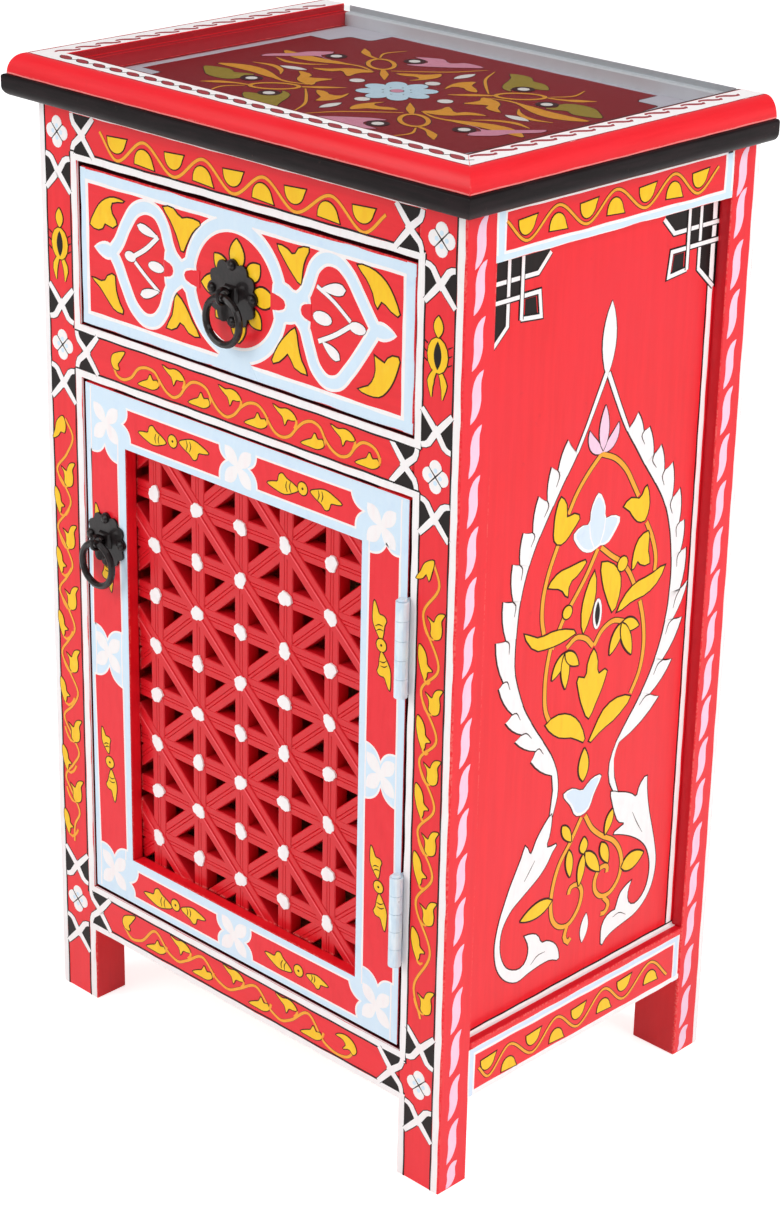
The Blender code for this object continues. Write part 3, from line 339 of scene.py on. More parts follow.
def knot(sheet, cx, cz, half_wide, half_high, toward):
    """A crossed ribbon: white arms over black sides; the arms near the flower end flat."""
    turns = {"up": (1, 0, 0, 1), "down": (1, 0, 0, -1), "right": (0, 1, 1, 0), "left": (0, -1, 1, 0)}[toward]

    def put(points):
        p = np.asarray(points, float) * (half_wide, half_high)
        x = p[:, 0] * turns[0] + p[:, 1] * turns[1]
        z = p[:, 0] * turns[2] + p[:, 1] * turns[3]
        return np.stack([cx + x, cz + z], axis=1)

    for way in (-1, 1):
        black = put([(way * 1.0, 0.66), (way * 0.6, 0.6), (way * 0.22, 0.02), (way * 1.0, -0.72)])
        fill(sheet, "black", black, LOW)
        upper = put([(way * 1.0, 0.80), (way * 0.6, 0.70), (way * 0.26, 0.30), (-way * 0.14, -0.20)])
        lower = put([(way * 1.0, -0.92), (way * 0.55, -0.50), (-way * 0.14, 0.16)])
        stroke(sheet, "white", upper, [3.6, 4.4, 4.8, 4.8], MID, edge=0.4, edge_colour="black")
        stroke(sheet, "white", lower, [3.8, 4.6, 4.8], MID + 0.012, edge=0.4, edge_colour="black")
    for way in (-1, 1):
        upper = put([(way * 0.5, 0.60), (way * 0.26, 0.30), (-way * 0.14, -0.20)])
        stroke(sheet, "white", upper, [4.2, 4.6, 4.6], MID + 0.03)


def post_flower(sheet, cx, cz):
    """Four round white petals about a centre, each with a pale blue heart, parted by a thin dark cross."""
    for way in range(4):
        angle = math.radians(90 * way)
        at = (cx + 5.2 * math.cos(angle), cz + 5.2 * math.sin(angle))
        oval(sheet, "white", at, 9.2, 9.2, MID + 0.004 * way)
        near = (cx + 3.6 * math.cos(angle), cz + 3.6 * math.sin(angle))
        oval(sheet, "pale_blue", near, 3.0, 3.0, HIGH, points=10)
        slant = math.radians(90 * way + 45)
        end = (cx + 7.4 * math.cos(slant), cz + 7.4 * math.sin(slant))
        stroke(sheet, "black", [(cx, cz), end], [1.0, 0.5], HIGH + 0.05)


def door_flower(sheet, cx, cz):
    """Four broad white petals on the diagonals."""
    for way in range(4):
        slant = math.radians(90 * way + 45)
        tip = (cx + 16.0 * math.cos(slant), cz + 16.0 * math.sin(slant))
        start = (cx - 1.4 * math.cos(slant), cz - 1.4 * math.sin(slant))
        blade(sheet, "white", start, tip, 10.0, MID - 0.05, belly=0.58)


def paint_posts():
    """White edge strips, knots, flowers and a leafy vine on both front posts."""
    sheet = FRONT_SHEET
    for x in (-172.3, 171.5):
        band(sheet, "white", (x, 0.6), (x, 608.4), 5.2, LOW)
    for x in (-169.4, 168.4):
        band(sheet, "black", (x, 0.6), (x, 608.4), 1.2, LOW + 0.05)
    for low, high in ((0.6, 57.0), (80.0, 446.0), (471.0, 581.0)):
        for x, line in ((-143.8, -147.2), (143.3, 146.2)):
            band(sheet, "white", (x, low), (x, high), 5.4, LOW)
            band(sheet, "black", (line, low), (line, high), 1.2, LOW + 0.05)
    for cx in (-158.2, 157.2):
        for cz in (591.0, 458.0, 70.0):
            post_flower(sheet, cx, cz)
        for cz, toward in ((566.5, "up"), (484.0, "down"), (433.5, "up"), (95.5, "down"), (45.0, "up")):
            knot(sheet, cx, cz, 11.2, 12.2, toward)


LEFT_VINE = [
    (-158, 410), (-151, 400), (-157, 387), (-167, 373), (-161, 366), (-154.5, 355), (-159, 347), (-168, 335),
    (-160, 323), (-154.5, 312), (-160, 303), (-168, 292), (-160, 281), (-154, 268), (-160, 259),
    (-167.5, 248), (-160, 236), (-152.5, 223), (-158, 213), (-167, 203), (-160, 191), (-153, 180),
    (-159, 170), (-167, 159), (-160, 147), (-154, 136), (-159, 126), (-160, 113),
]


# Heights of the leaf tips on the right post, on the right and on the left of its stem
RIGHT_POST_RISING = (378.8, 332.4, 288.4, 243, 197, 137)
RIGHT_POST_LEANING = (356, 312, 269, 225, 175)


def paint_post_vines():
    """Waving stems with a leaf on each side of every wave."""
    sheet = FRONT_SHEET
    stroke(sheet, "orange", LEFT_VINE, 1.9, MID, edge=0.2, edge_colour="rust")
    for z in (382, 340, 298, 254, 204, 160):
        vine_leaf(sheet, LEAF_RISING, (-157.5, z - 17))
        branch = [(-166.5, z - 9), (-164, z - 14.5), (-159.5, z - 17.8), (-155.5, z - 15.5)]
        stroke(sheet, "orange", branch, POST_BRANCH, MID + 0.05)
    for z in (361, 320, 276, 229, 180, 133):
        vine_leaf(sheet, LEAF_LEANING, (-165.5, z - 16), size=0.82)
        branch = [(-156, z - 10), (-159, z - 15), (-163.5, z - 17.5), (-167, z - 14)]
        stroke(sheet, "orange", branch, POST_BRANCH, MID + 0.05)
    bends = [(z - 3.0, 151.0) for z in RIGHT_POST_RISING] + [(z - 12.5, 163.2) for z in RIGHT_POST_LEANING]
    stem = [(157.5, 408), (162.5, 396)] + [(x, z) for z, x in sorted(bends)[::-1]] + [(157, 116)]
    stroke(sheet, "orange", stem, 1.9, MID, edge=0.2, edge_colour="rust")
    for z in RIGHT_POST_RISING:
        vine_leaf(sheet, LEAF_RISING, (159.6, z - 16.5))
        branch = [(151.6, z - 9), (153.6, z - 14.0), (157.5, z - 17.4), (161.5, z - 15.0)]
        stroke(sheet, "orange", branch, POST_BRANCH, MID + 0.05)
    for z in RIGHT_POST_LEANING:
        vine_leaf(sheet, LEAF_LEANING, (153.4, z - 20.5))
        branch = [(153.0, z - 19.5), (153.8, z - 21.6), (155.6, z - 22.2), (157.6, z - 20.6)]
        stroke(sheet, "orange", branch, POST_BRANCH, MID + 0.05)
    for outline in (
        [(-160, 411), (-166, 406.5), (-168, 400), (-170, 394.5), (-165, 397), (-162, 400.5), (-159.5, 400),
         (-157.5, 405)],
        [(158, 409), (151, 405.5), (148, 400), (144.8, 395), (150, 396.5), (152.5, 399.5), (154.5, 396),
         (156.5, 401)],
    ):
        fill(sheet, "yellow", soft_outline(outline, 3), HIGH, edge=0.6)


def bud_figure(sheet, cx, top, body, foot):
    """A yellow bud over a ring with a black almond in it, two curved leaves below and hairs at the sides."""
    blade(sheet, "yellow", (cx, top - 6), (cx, top + 6), 7.5, HIGH, belly=0.5, edge=0.6)
    oval(sheet, "yellow", (cx, body), 15, 20, HIGH + 0.05, edge=0.6)
    blade(sheet, "black", (cx, body - 8), (cx, body + 8), 6.5, TOP + 0.03, belly=0.5)
    for way in (-1, 1):
        leg = [(cx + way * 1.4, body - 8), (cx + way * 4.8, (body + foot) / 2 - 3), (cx + way * 4.0, foot)]
        stroke(sheet, "yellow", leg, [2.6, 5.2, 0.6], HIGH - 0.02, edge=0.6)
        for lift in (-4.5, 0.5, 5.5):
            hair = [(cx + way * 7.6, body + lift), (cx + way * 10.4, body + lift + 1.6)]
            stroke(sheet, "black", hair, [0.9, 0.4], HIGH + 0.03)


TOP_RAIL_WAVE = [
    (-119, 598), (-105, 583.6), (-80, 598.5), (-54, 583.4), (-29, 598.5), (-4, 583.6), (21, 598),
    (46, 583.4), (74.5, 598), (100.5, 583), (116, 596),
]
MID_RAIL_VINE = [
    (-110, 455), (-108, 451), (-103, 449.3), (-95, 452), (-87, 460), (-80, 462), (-73, 461), (-68, 456),
    (-62, 451), (-56, 449.5), (-51, 452), (-46, 458), (-40, 463), (-34, 464), (-27, 462), (-23, 457),
    (-16, 451), (-10, 449.3), (-4, 452), (3, 459), (10, 463), (16, 463.5), (22, 460), (26, 455), (31, 450.5),
    (37, 449.3), (43, 451.5), (49, 458), (55, 463), (61, 465), (67, 463.5), (72, 457), (78, 452),
    (84, 450.3), (90, 452), (96, 459), (101, 463), (106, 463.5), (111, 462), (114.5, 458), (114.5, 453),
]
BOTTOM_RAIL_VINE = [
    (-111, 68), (-104, 62), (-95, 64), (-80, 77), (-66, 66), (-58, 64), (-50, 68), (-35, 77), (-20, 66),
    (-10, 64), (0, 69), (15, 77), (30, 65), (38, 62.5), (46, 66), (62, 78), (78, 63), (88, 60.5), (98, 63),
    (103, 70),
]
# Leaves of the rails' vines: outline, height of the base, points of the branch, and where the bases lie
RAIL_LEAVES = (
    (LEAF_UNDER, 450.0, [(1, 458), (0.6, 454), (-2, 452)], (-70, -25, 23.5, 70.5, 114)),
    (LEAF_OVER, 467.0, [(-1, 457), (0.6, 461), (-1.6, 465)], (-47, 2, 48, 95)),
    (LEAF_UNDER, 62.6, [(2, 70), (0.6, 66.4), (-2, 64.6)], (-71, -26, 27, 74)),
    (LEAF_OVER, 80.0, [(-2, 70), (0.6, 74), (-1.6, 78)], (-46.5, 3.5, 52)),
)


def paint_front_rails():
    """White frames round the two openings, and the wave and vines between the knots on the three rails."""
    sheet = FRONT_SHEET
    for z, line in ((579.2, 582.0), (472.9, 470.4), (443.6, 446.4), (84.0, 81.2), (55.6, 58.6)):
        band(sheet, "white", (-146.3, z), (145.8, z), 4.6, LOW + 0.008)
        band(sheet, "black", (-146.3, line), (145.8, line), 1.2, LOW + 0.057)
    band(sheet, "white", (-146.3, 606.6), (145.8, 606.6), 3.6, LOW)
    for cz in (592.6, 458.4, 69.9):
        high = 12.0 if cz > 500 else 12.2
        knot(sheet, -135.6, cz, high, 11.4, "left")
        knot(sheet, 134.0, cz, high, 11.4, "right")
    stroke(sheet, "orange", TOP_RAIL_WAVE, 2.1, MID, edge=0.2, edge_colour="rust")
    for left, right in ((-112, -96), (-61.5, -46.5), (-12, 3.5), (38, 53.5), (91, 107)):
        moon(sheet, left, right, 596.5, 587.8)
    for left, right in ((-88, -72), (-37.5, -21.5), (12, 28), (64, 80)):
        moon(sheet, left, right, 585.0, 594.3)
    for vine in (MID_RAIL_VINE, BOTTOM_RAIL_VINE):
        stroke(sheet, "orange", vine, 2.1, MID, edge=0.2, edge_colour="rust")
    for outline, height, branch, bases in RAIL_LEAVES:
        for base in bases:
            vine_leaf(sheet, outline, (base, height))
            stroke(sheet, "orange", [(base + x, z) for x, z in branch], RAIL_BRANCH, MID + 0.03)
    for drop in (0.0, 387.3):
        first = [(-100, 466.8 - drop), (-107, 465.2 - drop), (-111.5, 462.5 - drop), (-112.4, 457.5 - drop),
                 (-110, 454.5 - drop), (-105.2, 455 - drop), (-106.6, 457.8 - drop), (-105, 459.8 - drop),
                 (-102.5, 463 - drop)]
        fill(sheet, "yellow", soft_outline(first, 3), HIGH, edge=0.6)
    last = [(87, 74), (92, 76.6), (98, 76.6), (103, 73.5), (104.6, 69), (102, 66), (98.5, 68.4), (93, 66.8),
            (95.4, 70.4), (93, 73)]
    fill(sheet, "yellow", soft_outline(last, 3), HIGH, edge=0.6)


# The drawer's cartouche curves, left then right, each an upper and a lower arm from its pod to its link
CARTOUCHES = (
    [(-112, 527.4), (-107, 533), (-99.5, 546), (-90.5, 557), (-81.5, 560.5), (-71.5, 558.5), (-65, 550.5),
     (-62, 542), (-58.5, 536), (-52, 531)],
    [(-112, 526.4), (-107.5, 520.5), (-101, 508.5), (-93, 496.5), (-83, 491), (-74.5, 492.5), (-67, 500.5),
     (-62.5, 512), (-58.5, 518), (-52, 523)],
    [(107, 530.4), (102.5, 536), (95, 546), (86, 557), (78, 562), (68, 562), (60, 556), (55, 545),
     (51, 537.5), (44, 532)],
    [(107, 529.2), (102.5, 522.5), (96, 513), (87, 501), (78, 492), (70, 490.7), (61.5, 496), (55.5, 508),
     (51, 518.5), (44, 524.5)],
)
# Links between the cartouches and the ring
DRAWER_LINKS = (
    [(-61, 540), (-57, 536.4), (-53, 534.4), (-51.5, 532.8), (-50, 534.2), (-46.5, 536.5), (-43, 540),
     (-43, 514), (-46.5, 517.5), (-50, 520), (-51.5, 521.2), (-53, 520), (-57.5, 518), (-61, 514)],
    [(31, 542), (34, 540), (40, 538.4), (44, 536), (47, 537.4), (51.5, 540.5), (51.5, 515), (48, 518.5),
     (44, 520.4), (40, 518.6), (36, 518), (32, 515)],
)
DRAWER_LEAVES = (
    [(-132, 540), (-129, 546), (-122, 555), (-112, 560), (-101, 559.5), (-113, 555.5), (-112, 550),
     (-107.5, 545), (-113, 541.5), (-118, 543.5), (-121, 539.5), (-126, 538)],
    [(-131, 507), (-120, 507), (-117, 511), (-111, 513), (-110, 505), (-107, 497), (-103, 491), (-110, 491),
     (-118, 497), (-124, 502.5)],
    [(-66, 563.5), (-58, 564.5), (-51, 560), (-44, 561.5), (-34, 560), (-40, 555), (-45, 548), (-50, 540),
     (-54, 548), (-60, 557)],
    [(-55, 513.5), (-48, 508), (-42, 500), (-36, 492), (-44, 492), (-52, 497.5), (-57, 492), (-64, 491),
     (-59, 500)],
    [(30, 561.5), (38, 560.5), (42.5, 558), (47, 563), (55, 564.5), (51, 556), (49.5, 549), (48.5, 542.5),
     (43, 546.5), (36, 553.5)],
    [(44, 516), (38, 511), (31, 503), (26, 491.5), (33, 494.5), (38.5, 500), (44, 493), (54, 491.5),
     (49, 499), (46.5, 507)],
    [(93, 563.5), (104, 563.5), (114, 559), (121, 551), (125, 541.5), (117, 544), (112, 547.5), (108, 542.5),
     (105, 550), (100, 557)],
    [(107, 515), (114.5, 512.5), (118, 517), (125.5, 518), (123.5, 509), (119, 500), (111, 492.5),
     (103, 491.5), (95, 493), (103, 497), (107, 503), (108, 509)],
)


def drawer_lobe(root, tip, z):
    """A round-ended lobe from root to tip about a level line."""
    long = tip - root
    return [(root, z + 5.2), (root + 0.45 * long, z + 4.6), (tip - 0.12 * long, z + 2.6), (tip, z),
            (tip - 0.12 * long, z - 2.6), (root + 0.45 * long, z - 4.6), (root, z - 5.2)]


def paint_drawer():
    """Blue and white border, a ring about the pull, two cartouches with twigs, and yellow leaves."""
    sheet = DRAWER_SHEET
    for x, wide in ((-138.2, 4.6), (133.0, 7.0)):
        band(sheet, "pale_blue", (x, 477.2), (x, 573.4), wide, LOW)
    for z, wide in ((569.8, 6.6), (480.3, 6.6)):
        band(sheet, "pale_blue", (-140.2, z), (136.8, z), wide, LOW + 0.01)
    frame_lines(sheet, "white", (-135.2, 483.9), (129.0, 566.4), 3.4, LOW - 0.055)
    angle = np.linspace(0, 2 * np.pi, 72, endpoint=False)
    ring = np.stack([38.5 * np.cos(angle), 38.6 * np.sin(angle)], axis=1) + (-5.5, 527.0)
    for colour, thinner, height in (("white", 0.0, MID), ("pale_blue", 3.0, HIGH)):
        for arm in CARTOUCHES:
            stroke(sheet, colour, arm, 9.8 - thinner, height)
        ribbon(sheet, colour, ring, 10.4 - thinner, height, closed=True)
        for start, end in (((-109, 526.5), (-129, 526.8)), ((103, 529.8), (123.5, 530))):
            inset = 0.08 * thinner
            tip = (end[0] + inset * (start[0] - end[0]) * 0.3, end[1])
            blade(sheet, colour, start, tip, 11.6 - thinner, height + 0.03, belly=0.42)
    for far, near in ((573.0, 562.6), (477.2, 488.4)):
        fill(sheet, "pale_blue", [(-25, far), (14, far), (6, near), (-17, near)], HIGH + 0.05)
    for link in DRAWER_LINKS:
        fill(sheet, "pale_blue", soft_outline(link, 2), HIGH + 0.015, edge=1.5, edge_colour="white")
    for root, start, tip, z in ((-66, -63.5, -57, 527), (-35, -39.5, -49, 526.8), (24.2, 28.6, 37.2, 527.8),
                                (57, 54.2, 48.2, 528)):
        fill(sheet, "red", drawer_lobe(root, tip, z), TOP)
        stroke(sheet, "white", drawer_lobe(start, tip, z), 1.5, TOP + 0.05)
    for outline in DRAWER_LEAVES:
        fill(sheet, "yellow", soft_outline(outline, 2), HIGH - 0.02, edge=0.9)
    for base, tip, wide in (((-89.5, 548), (-70.5, 544), 6.5), ((-87.5, 506), (-70.5, 511.5), 6.5),
                            ((84, 547), (65, 544), 8), ((80, 506), (66, 513.5), 7.5)):
        blade(sheet, "white", base, tip, wide, HIGH, belly=0.35, edge=0.35)
    for points, wide in (([(-92.5, 528.5), (-82, 535), (-71, 544.5)], 3.4),
                         ([(-92, 525), (-82, 518), (-70.5, 511)], 3.0),
                         ([(61.5, 544.5), (74, 539), (88, 530)], 2.8),
                         ([(63, 513), (75, 519), (88, 527.5)], 3.2)):
        stroke(sheet, "white", points, wide, MID + 0.02, edge=0.3)
    for centre, wide, tall in (((-96, 527.5), 10, 6.5), ((-73, 526), 14, 6.5), ((93.5, 527.5), 13, 7),
                               ((66, 527), 15, 8)):
        oval(sheet, "white", centre, wide, tall, HIGH, edge=0.35)
    for way in range(8):
        angle = math.radians(45 * way + 1.5)
        reach = 30.5 if way % 2 == 0 else 26.5
        start = (-3 + 11 * math.cos(angle), 527 + 11 * math.sin(angle))
        tip = (-3 + reach * math.cos(angle), 527 + reach * math.sin(angle))
        blade(sheet, "yellow", start, tip, 13.5 if way % 2 == 0 else 11.5, HIGH, belly=0.5, edge=0.75)


# Red fields of the door: tip, corner, corner, tip, corner, corner, in turn round each field
DOOR_FIELDS = (
    [(-105.5, 420), (-98.5, 409.5), (-19, 409.5), (-13, 422), (-19, 430), (-101.5, 430)],
    [(8, 421.5), (14.5, 411), (95, 411), (101, 422), (91.5, 431), (14, 430.5)],
    [(-106, 102.5), (-102, 94.5), (-22, 94), (-18.5, 104), (-23.5, 113), (-98.5, 113.5)],
    [(4.5, 103.5), (10.5, 94), (102.5, 94), (105, 105.5), (95.5, 115.5), (9, 114.5)],
    [(-123.5, 401), (-136, 395), (-137.5, 279), (-125, 271.5), (-111, 280), (-112, 392.5)],
    [(-123.5, 252), (-137.5, 242.5), (-135.5, 123), (-122.5, 117.5), (-110, 126), (-111, 241)],
    [(120.5, 406.5), (107.5, 399), (107, 281), (119, 272), (131, 280), (130.5, 402.5)],
    [(119.5, 255), (107, 243.5), (107.5, 131), (120.5, 123.5), (132.5, 129.5), (131, 245)],
)
# Bows of the door: first leaf (base, tip, bump), dot, second leaf (base, tip, bump)
DOOR_BOWS = (
    ((-66, 418.5), (-91, 419), (-79, 427), (-60, 421), (-54, 422), (-28, 421.5), (-44, 414)),
    ((49, 420.5), (23, 418), (39, 428), (52.5, 422), (59, 422), (84.5, 421), (67, 416)),
    ((-66, 101), (-93, 101.5), (-79, 110), (-62.5, 104), (-57, 103.5), (-34, 104.5), (-47, 98)),
    ((46, 101), (22, 105), (38, 109.5), (52, 104), (59, 104), (78, 103.5), (68, 97)),
    ((118, 348), (112, 371), (125, 362), (118, 345), (118, 341), (125, 319), (110, 328)),
    ((119, 195), (113, 214.5), (127.5, 207), (119.5, 189.5), (120, 185), (125, 162), (111.5, 176)),
    ((-126, 190), (-132, 207), (-117.5, 203), (-125, 184), (-124, 179), (-121, 157), (-133.5, 168)),
    ((-126, 337), (-133, 361), (-118.5, 352), (-124, 331), (-124, 327), (-120, 305), (-133, 315)),
)
DOOR_FLOWERS = (
    (-122, 416.5), (-2.5, 420), (116, 417), (-124.5, 262), (119, 263), (-123, 106), (-7, 104), (119, 108),
)


# A bow's leaf along its length and across, in shares of the length, with the bump on the minus side
BOW_LEAF = [(0, 0), (0.22, 0.12), (0.46, 0.18), (0.74, 0.12), (1, 0), (0.82, -0.05), (0.66, -0.08),
            (0.6, -0.24), (0.5, -0.29), (0.38, -0.2), (0.15, -0.1)]


def bow_leaf(sheet, base, tip, bump):
    """A yellow leaf of a bow from base to tip, bulging towards the bump, with two dark strokes across it."""
    base, tip, bump = (np.asarray(p, float) for p in (base, tip, bump))
    along = tip - base
    across = np.array([-along[1], along[0]])
    across = across if np.dot(bump - base, across) < 0 else -across

    def put(points):
        p = np.asarray(points, float)
        return base + p[:, :1] * along + p[:, 1:] * across

    fill(sheet, "yellow", soft_outline(put(BOW_LEAF), 3), TOP, edge=0.7)
    for share in (0.24, 0.36):
        vein = put([(share, 0.12), (share + 0.04, 0.0), (share, -0.13)])
        stroke(sheet, "outline", vein, [0.4, 1.0, 0.4], TOP + 0.06)


def paint_door():
    """Blue boards with white lines, red bracket-ended fields with yellow bows, and white flowers between."""
    sheet = DOOR_SHEET
    for left, right, low, high in ((-140.8, -104.4, 88.7, 438.8), (100.9, 137.3, 88.7, 438.8),
                                   (-104.9, 101.4, 404.2, 438.8), (-104.9, 101.4, 88.7, 120.3)):
        panel_fill(sheet, "pale_blue", (left, low), (right, high), GROUND)
    for x in (-136.2, 131.6):
        band(sheet, "white", (x, 90), (x, 437.6), 1.3, LOW - 0.02)
    for x in (-111.2, 106.6):
        band(sheet, "white", (x, 118), (x, 408), 1.3, LOW - 0.02)
    bulges = (-0.16, 0.0, -0.16, -0.16, 0.0, -0.16)
    for points in DOOR_FIELDS:
        outline = arcs([(*p, b) for p, b in zip(points, bulges)], 8)
        fill(sheet, "red", outline, MID, edge=1.3, edge_colour="white")
        fill(sheet, "outline", outline, MID - 0.06)
    for base, tip, bump, dot, base_2, tip_2, bump_2 in DOOR_BOWS:
        bow_leaf(sheet, base, tip, bump)
        bow_leaf(sheet, base_2, tip_2, bump_2)
        oval(sheet, "yellow", dot, 7.8, 7.8, TOP + 0.05, edge=0.7)
        oval(sheet, "outline", dot, 1.8, 1.8, TOP + 0.11, points=8)
    for cx, cz in DOOR_FLOWERS:
        door_flower(sheet, cx, cz)


SIDE_BOWLS = (47, 97, 147, 194)
SIDE_DOMES = (72, 120, 171)
LEAF_TOPS = (606, 581, 550, 520, 489, 460, 430, 400, 370, 342, 314, 285, 257, 228, 199, 168, 139, 110, 79,
             48, 18)


def paint_side_posts(sheet):
    """A chain of pink S-shaped leaves up each side post, and a white strip on the rear edge."""
    for first in (0.0, 222.5):
        for top in LEAF_TOPS:
            low = max(top - 29, 1.5)
            tall = top - low
            spine = [(first + 7.0, low), (first + 10.2, low + 0.18 * tall),
                     (first + 11.6, low + 0.38 * tall),
                     (first + 11.4, low + 0.62 * tall), (first + 12.4, low + 0.82 * tall),
                     (first + 16.2, top)]
            path = smooth_path(spine, 13)
            t = np.linspace(0, 1, 13)
            ribbon(sheet, "pink", path, 7.4 * np.sin(np.pi * t) ** 0.62 + 0.15, MID)
    band(sheet, "white", (247.2, 0.8), (247.2, 608.2), 4.2, LOW)


def paint_side_rails(sheet):
    """Blue and white borders, an orange wave and yellow half-moons on the two side rails."""
    for s in (27.2, 221.2):
        band(sheet, "white", (s, 577.4), (s, 606.0), 8.4, LOW - 0.02)
        band(sheet, "pale_blue", (s, 577.4), (s, 606.0), 5.6, LOW + 0.02)
        band(sheet, "white", (s - 0.6, 58.6), (s - 0.6, 91.6), 6.2, LOW - 0.02)
        band(sheet, "ice", (s - 0.8, 58.6), (s - 0.8, 91.4), 3.8, LOW + 0.02)
    band(sheet, "white", (23.4, 580.3), (225.0, 580.3), 5.6, LOW - 0.01)
    band(sheet, "pale_blue", (23.4, 579.6), (225.0, 579.6), 3.6, LOW + 0.03)
    band(sheet, "white", (23.4, 605.4), (225.0, 605.4), 3.4, LOW - 0.01)
    band(sheet, "white", (24.0, 89.0), (223.4, 89.0), 5.6, LOW - 0.01)
    band(sheet, "ice", (24.6, 89.7), (222.2, 89.7), 3.6, LOW + 0.03)
    band(sheet, "white", (25.4, 60.4), (224.6, 60.4), 3.8, LOW + 0.035)
    crest = [(31, 599)]
    for k, s in enumerate((47, 72, 97, 120, 147, 171, 194)):
        crest.append((s, 585.5 if k % 2 == 0 else 600.5))
    crest.append((211, 598))
    stroke(sheet, "orange", crest, 1.9, MID, edge=0.35)
    for s in SIDE_BOWLS:
        moon(sheet, s - 6.7, s + 6.7, 597.6, 588.8)
    for s in SIDE_DOMES:
        moon(sheet, s - 6.7, s + 6.7, 587.2, 596.0)
    low_wave = [(33, 76), (41, 66.5), (60, 80.5), (82, 65.5), (104, 81), (124, 66), (149, 82.5), (168, 67.5),
                (195, 83), (212, 67)]
    stroke(sheet, "orange", low_wave, 1.9, MID, edge=0.35)
    for s, z in ((41, 76), (82, 75.5), (124, 76), (168, 78)):
        moon(sheet, s - 6.2, s + 6.2, z + 3.8, z - 4.4)
    for s, z in ((60, 67), (104, 68), (149, 70.5), (195, 72)):
        moon(sheet, s - 6.2, s + 6.2, z - 3.2, z + 4.8)


# White feathered ribbons of the side panel: inner edge, and outer edge as feather tips and valleys in turn
LEFT_RIBBON_INNER = [
    (131.4, 490), (117, 463), (107, 446), (95, 430), (84, 414), (75, 400), (68, 385), (63.5, 370),
    (61.5, 355), (60.5, 340), (61, 325), (64, 315), (70, 300), (80, 284), (90, 270), (98, 258), (103, 245),
    (104, 232), (99.6, 217),
]
LEFT_FEATHERS = [
    (128.2, 491.5), (113.4, 462), (106, 449), (98.5, 458), (91, 441.5), (85, 445), (83, 425), (75, 430),
    (71.5, 409), (63, 411), (61.5, 392), (55, 394), (57, 370.5), (48, 373), (52, 348), (43, 349), (51, 322),
    (47, 319), (60, 299), (54, 295), (69, 283), (63, 280), (82, 268), (78, 262), (98, 246.5), (99.5, 236),
    (97.4, 217.6),
]
RIGHT_RIBBON_INNER = [
    (129.8, 490), (140, 470), (150, 452), (160, 438), (170, 424), (180, 411), (190, 396), (196, 380),
    (199, 365), (200.5, 350), (200, 335), (198, 320), (193, 302), (186, 287), (176, 272), (165, 259),
    (156, 247), (151.5, 236), (152, 225), (158.6, 212.6),
]
RIGHT_FEATHERS = [
    (133.0, 491), (144.6, 468), (153, 452), (160.5, 460), (166.5, 447), (172, 448.5), (177, 429.5),
    (184, 434.5), (188, 417), (196, 420.5), (197, 397), (204.5, 402), (205.5, 379.5), (210.5, 380),
    (208.5, 360), (214, 361), (210, 334), (218, 339), (205, 316), (214.5, 315), (197, 291), (207, 289),
    (187, 271.5), (196.5, 267), (160, 248), (155.5, 237), (157, 225), (161.4, 213.4),
]
# Acanthus feet of the ribbons: from the waist down the outside to the foot and back up the inside
LEFT_ACANTHUS = [
    (99.2, 220), (92.8, 215), (86.8, 208), (81.2, 199.6), (79.4, 203.4), (76.8, 207), (73.8, 201),
    (68.8, 192), (63.8, 183), (59.8, 174), (56.4, 166), (53.8, 157), (52.4, 149), (52.8, 140), (54.8, 132),
    (58.8, 125), (65.8, 118.4), (74, 115), (84, 117), (97.8, 118.6), (104, 118.4), (112.4, 115.6),
    (111.8, 121), (108.8, 127), (104, 131), (98.8, 133.4), (94.8, 133.6), (93.6, 137), (89.8, 141.6),
    (84.8, 143.6), (79.2, 144.4), (81.8, 140), (83.4, 134), (82.4, 128), (79.8, 124.6), (75.8, 123.2),
    (69.8, 124.6), (63.8, 128.4), (59.4, 135), (57, 143), (56.8, 150), (58.2, 157), (61.8, 163), (66.8, 168),
    (73.8, 172), (81.8, 176.4), (89.8, 181), (96.8, 187), (101.8, 194), (105.8, 198), (100.8, 198),
    (96.2, 199), (98.2, 206), (99.4, 212),
]
RIGHT_ACANTHUS = [
    (154.8, 215.8), (161.8, 213), (169.8, 210), (176.8, 206), (179.8, 203.4), (181.8, 209), (184.8, 213),
    (188.8, 215.4), (189.8, 208), (191.4, 198), (193.8, 188), (197.4, 176), (200.8, 164), (203.2, 151),
    (202.2, 140), (198.8, 131), (192.8, 124), (183.8, 119), (173.8, 117), (163.8, 115), (156.8, 112),
    (153.6, 108.6), (152.4, 116), (152.8, 122), (155.8, 127), (160.8, 129.4), (165.4, 129.6), (166.8, 134),
    (169.8, 140), (174.8, 143), (179.8, 144.6), (177.4, 140), (176.8, 134), (178.8, 129), (183.8, 126.4),
    (189.8, 128.4), (194.8, 134), (197.2, 142), (197.4, 150), (195.4, 158), (191.8, 165), (186.8, 170.4),
    (179.8, 175.6), (171.8, 180), (163.8, 183.4), (159, 185.2), (163.8, 187), (169.8, 188.8), (163.8, 192),
    (159.8, 199), (156.8, 207),
]
ACANTHUS_VEINS = (
    [(76.8, 183), (81, 188), (85.8, 194)], [(176.8, 194), (181.8, 185), (187.8, 176)],
    [(86, 122), (92, 126), (99, 126)], [(176, 122), (169, 126), (163, 125)],
)
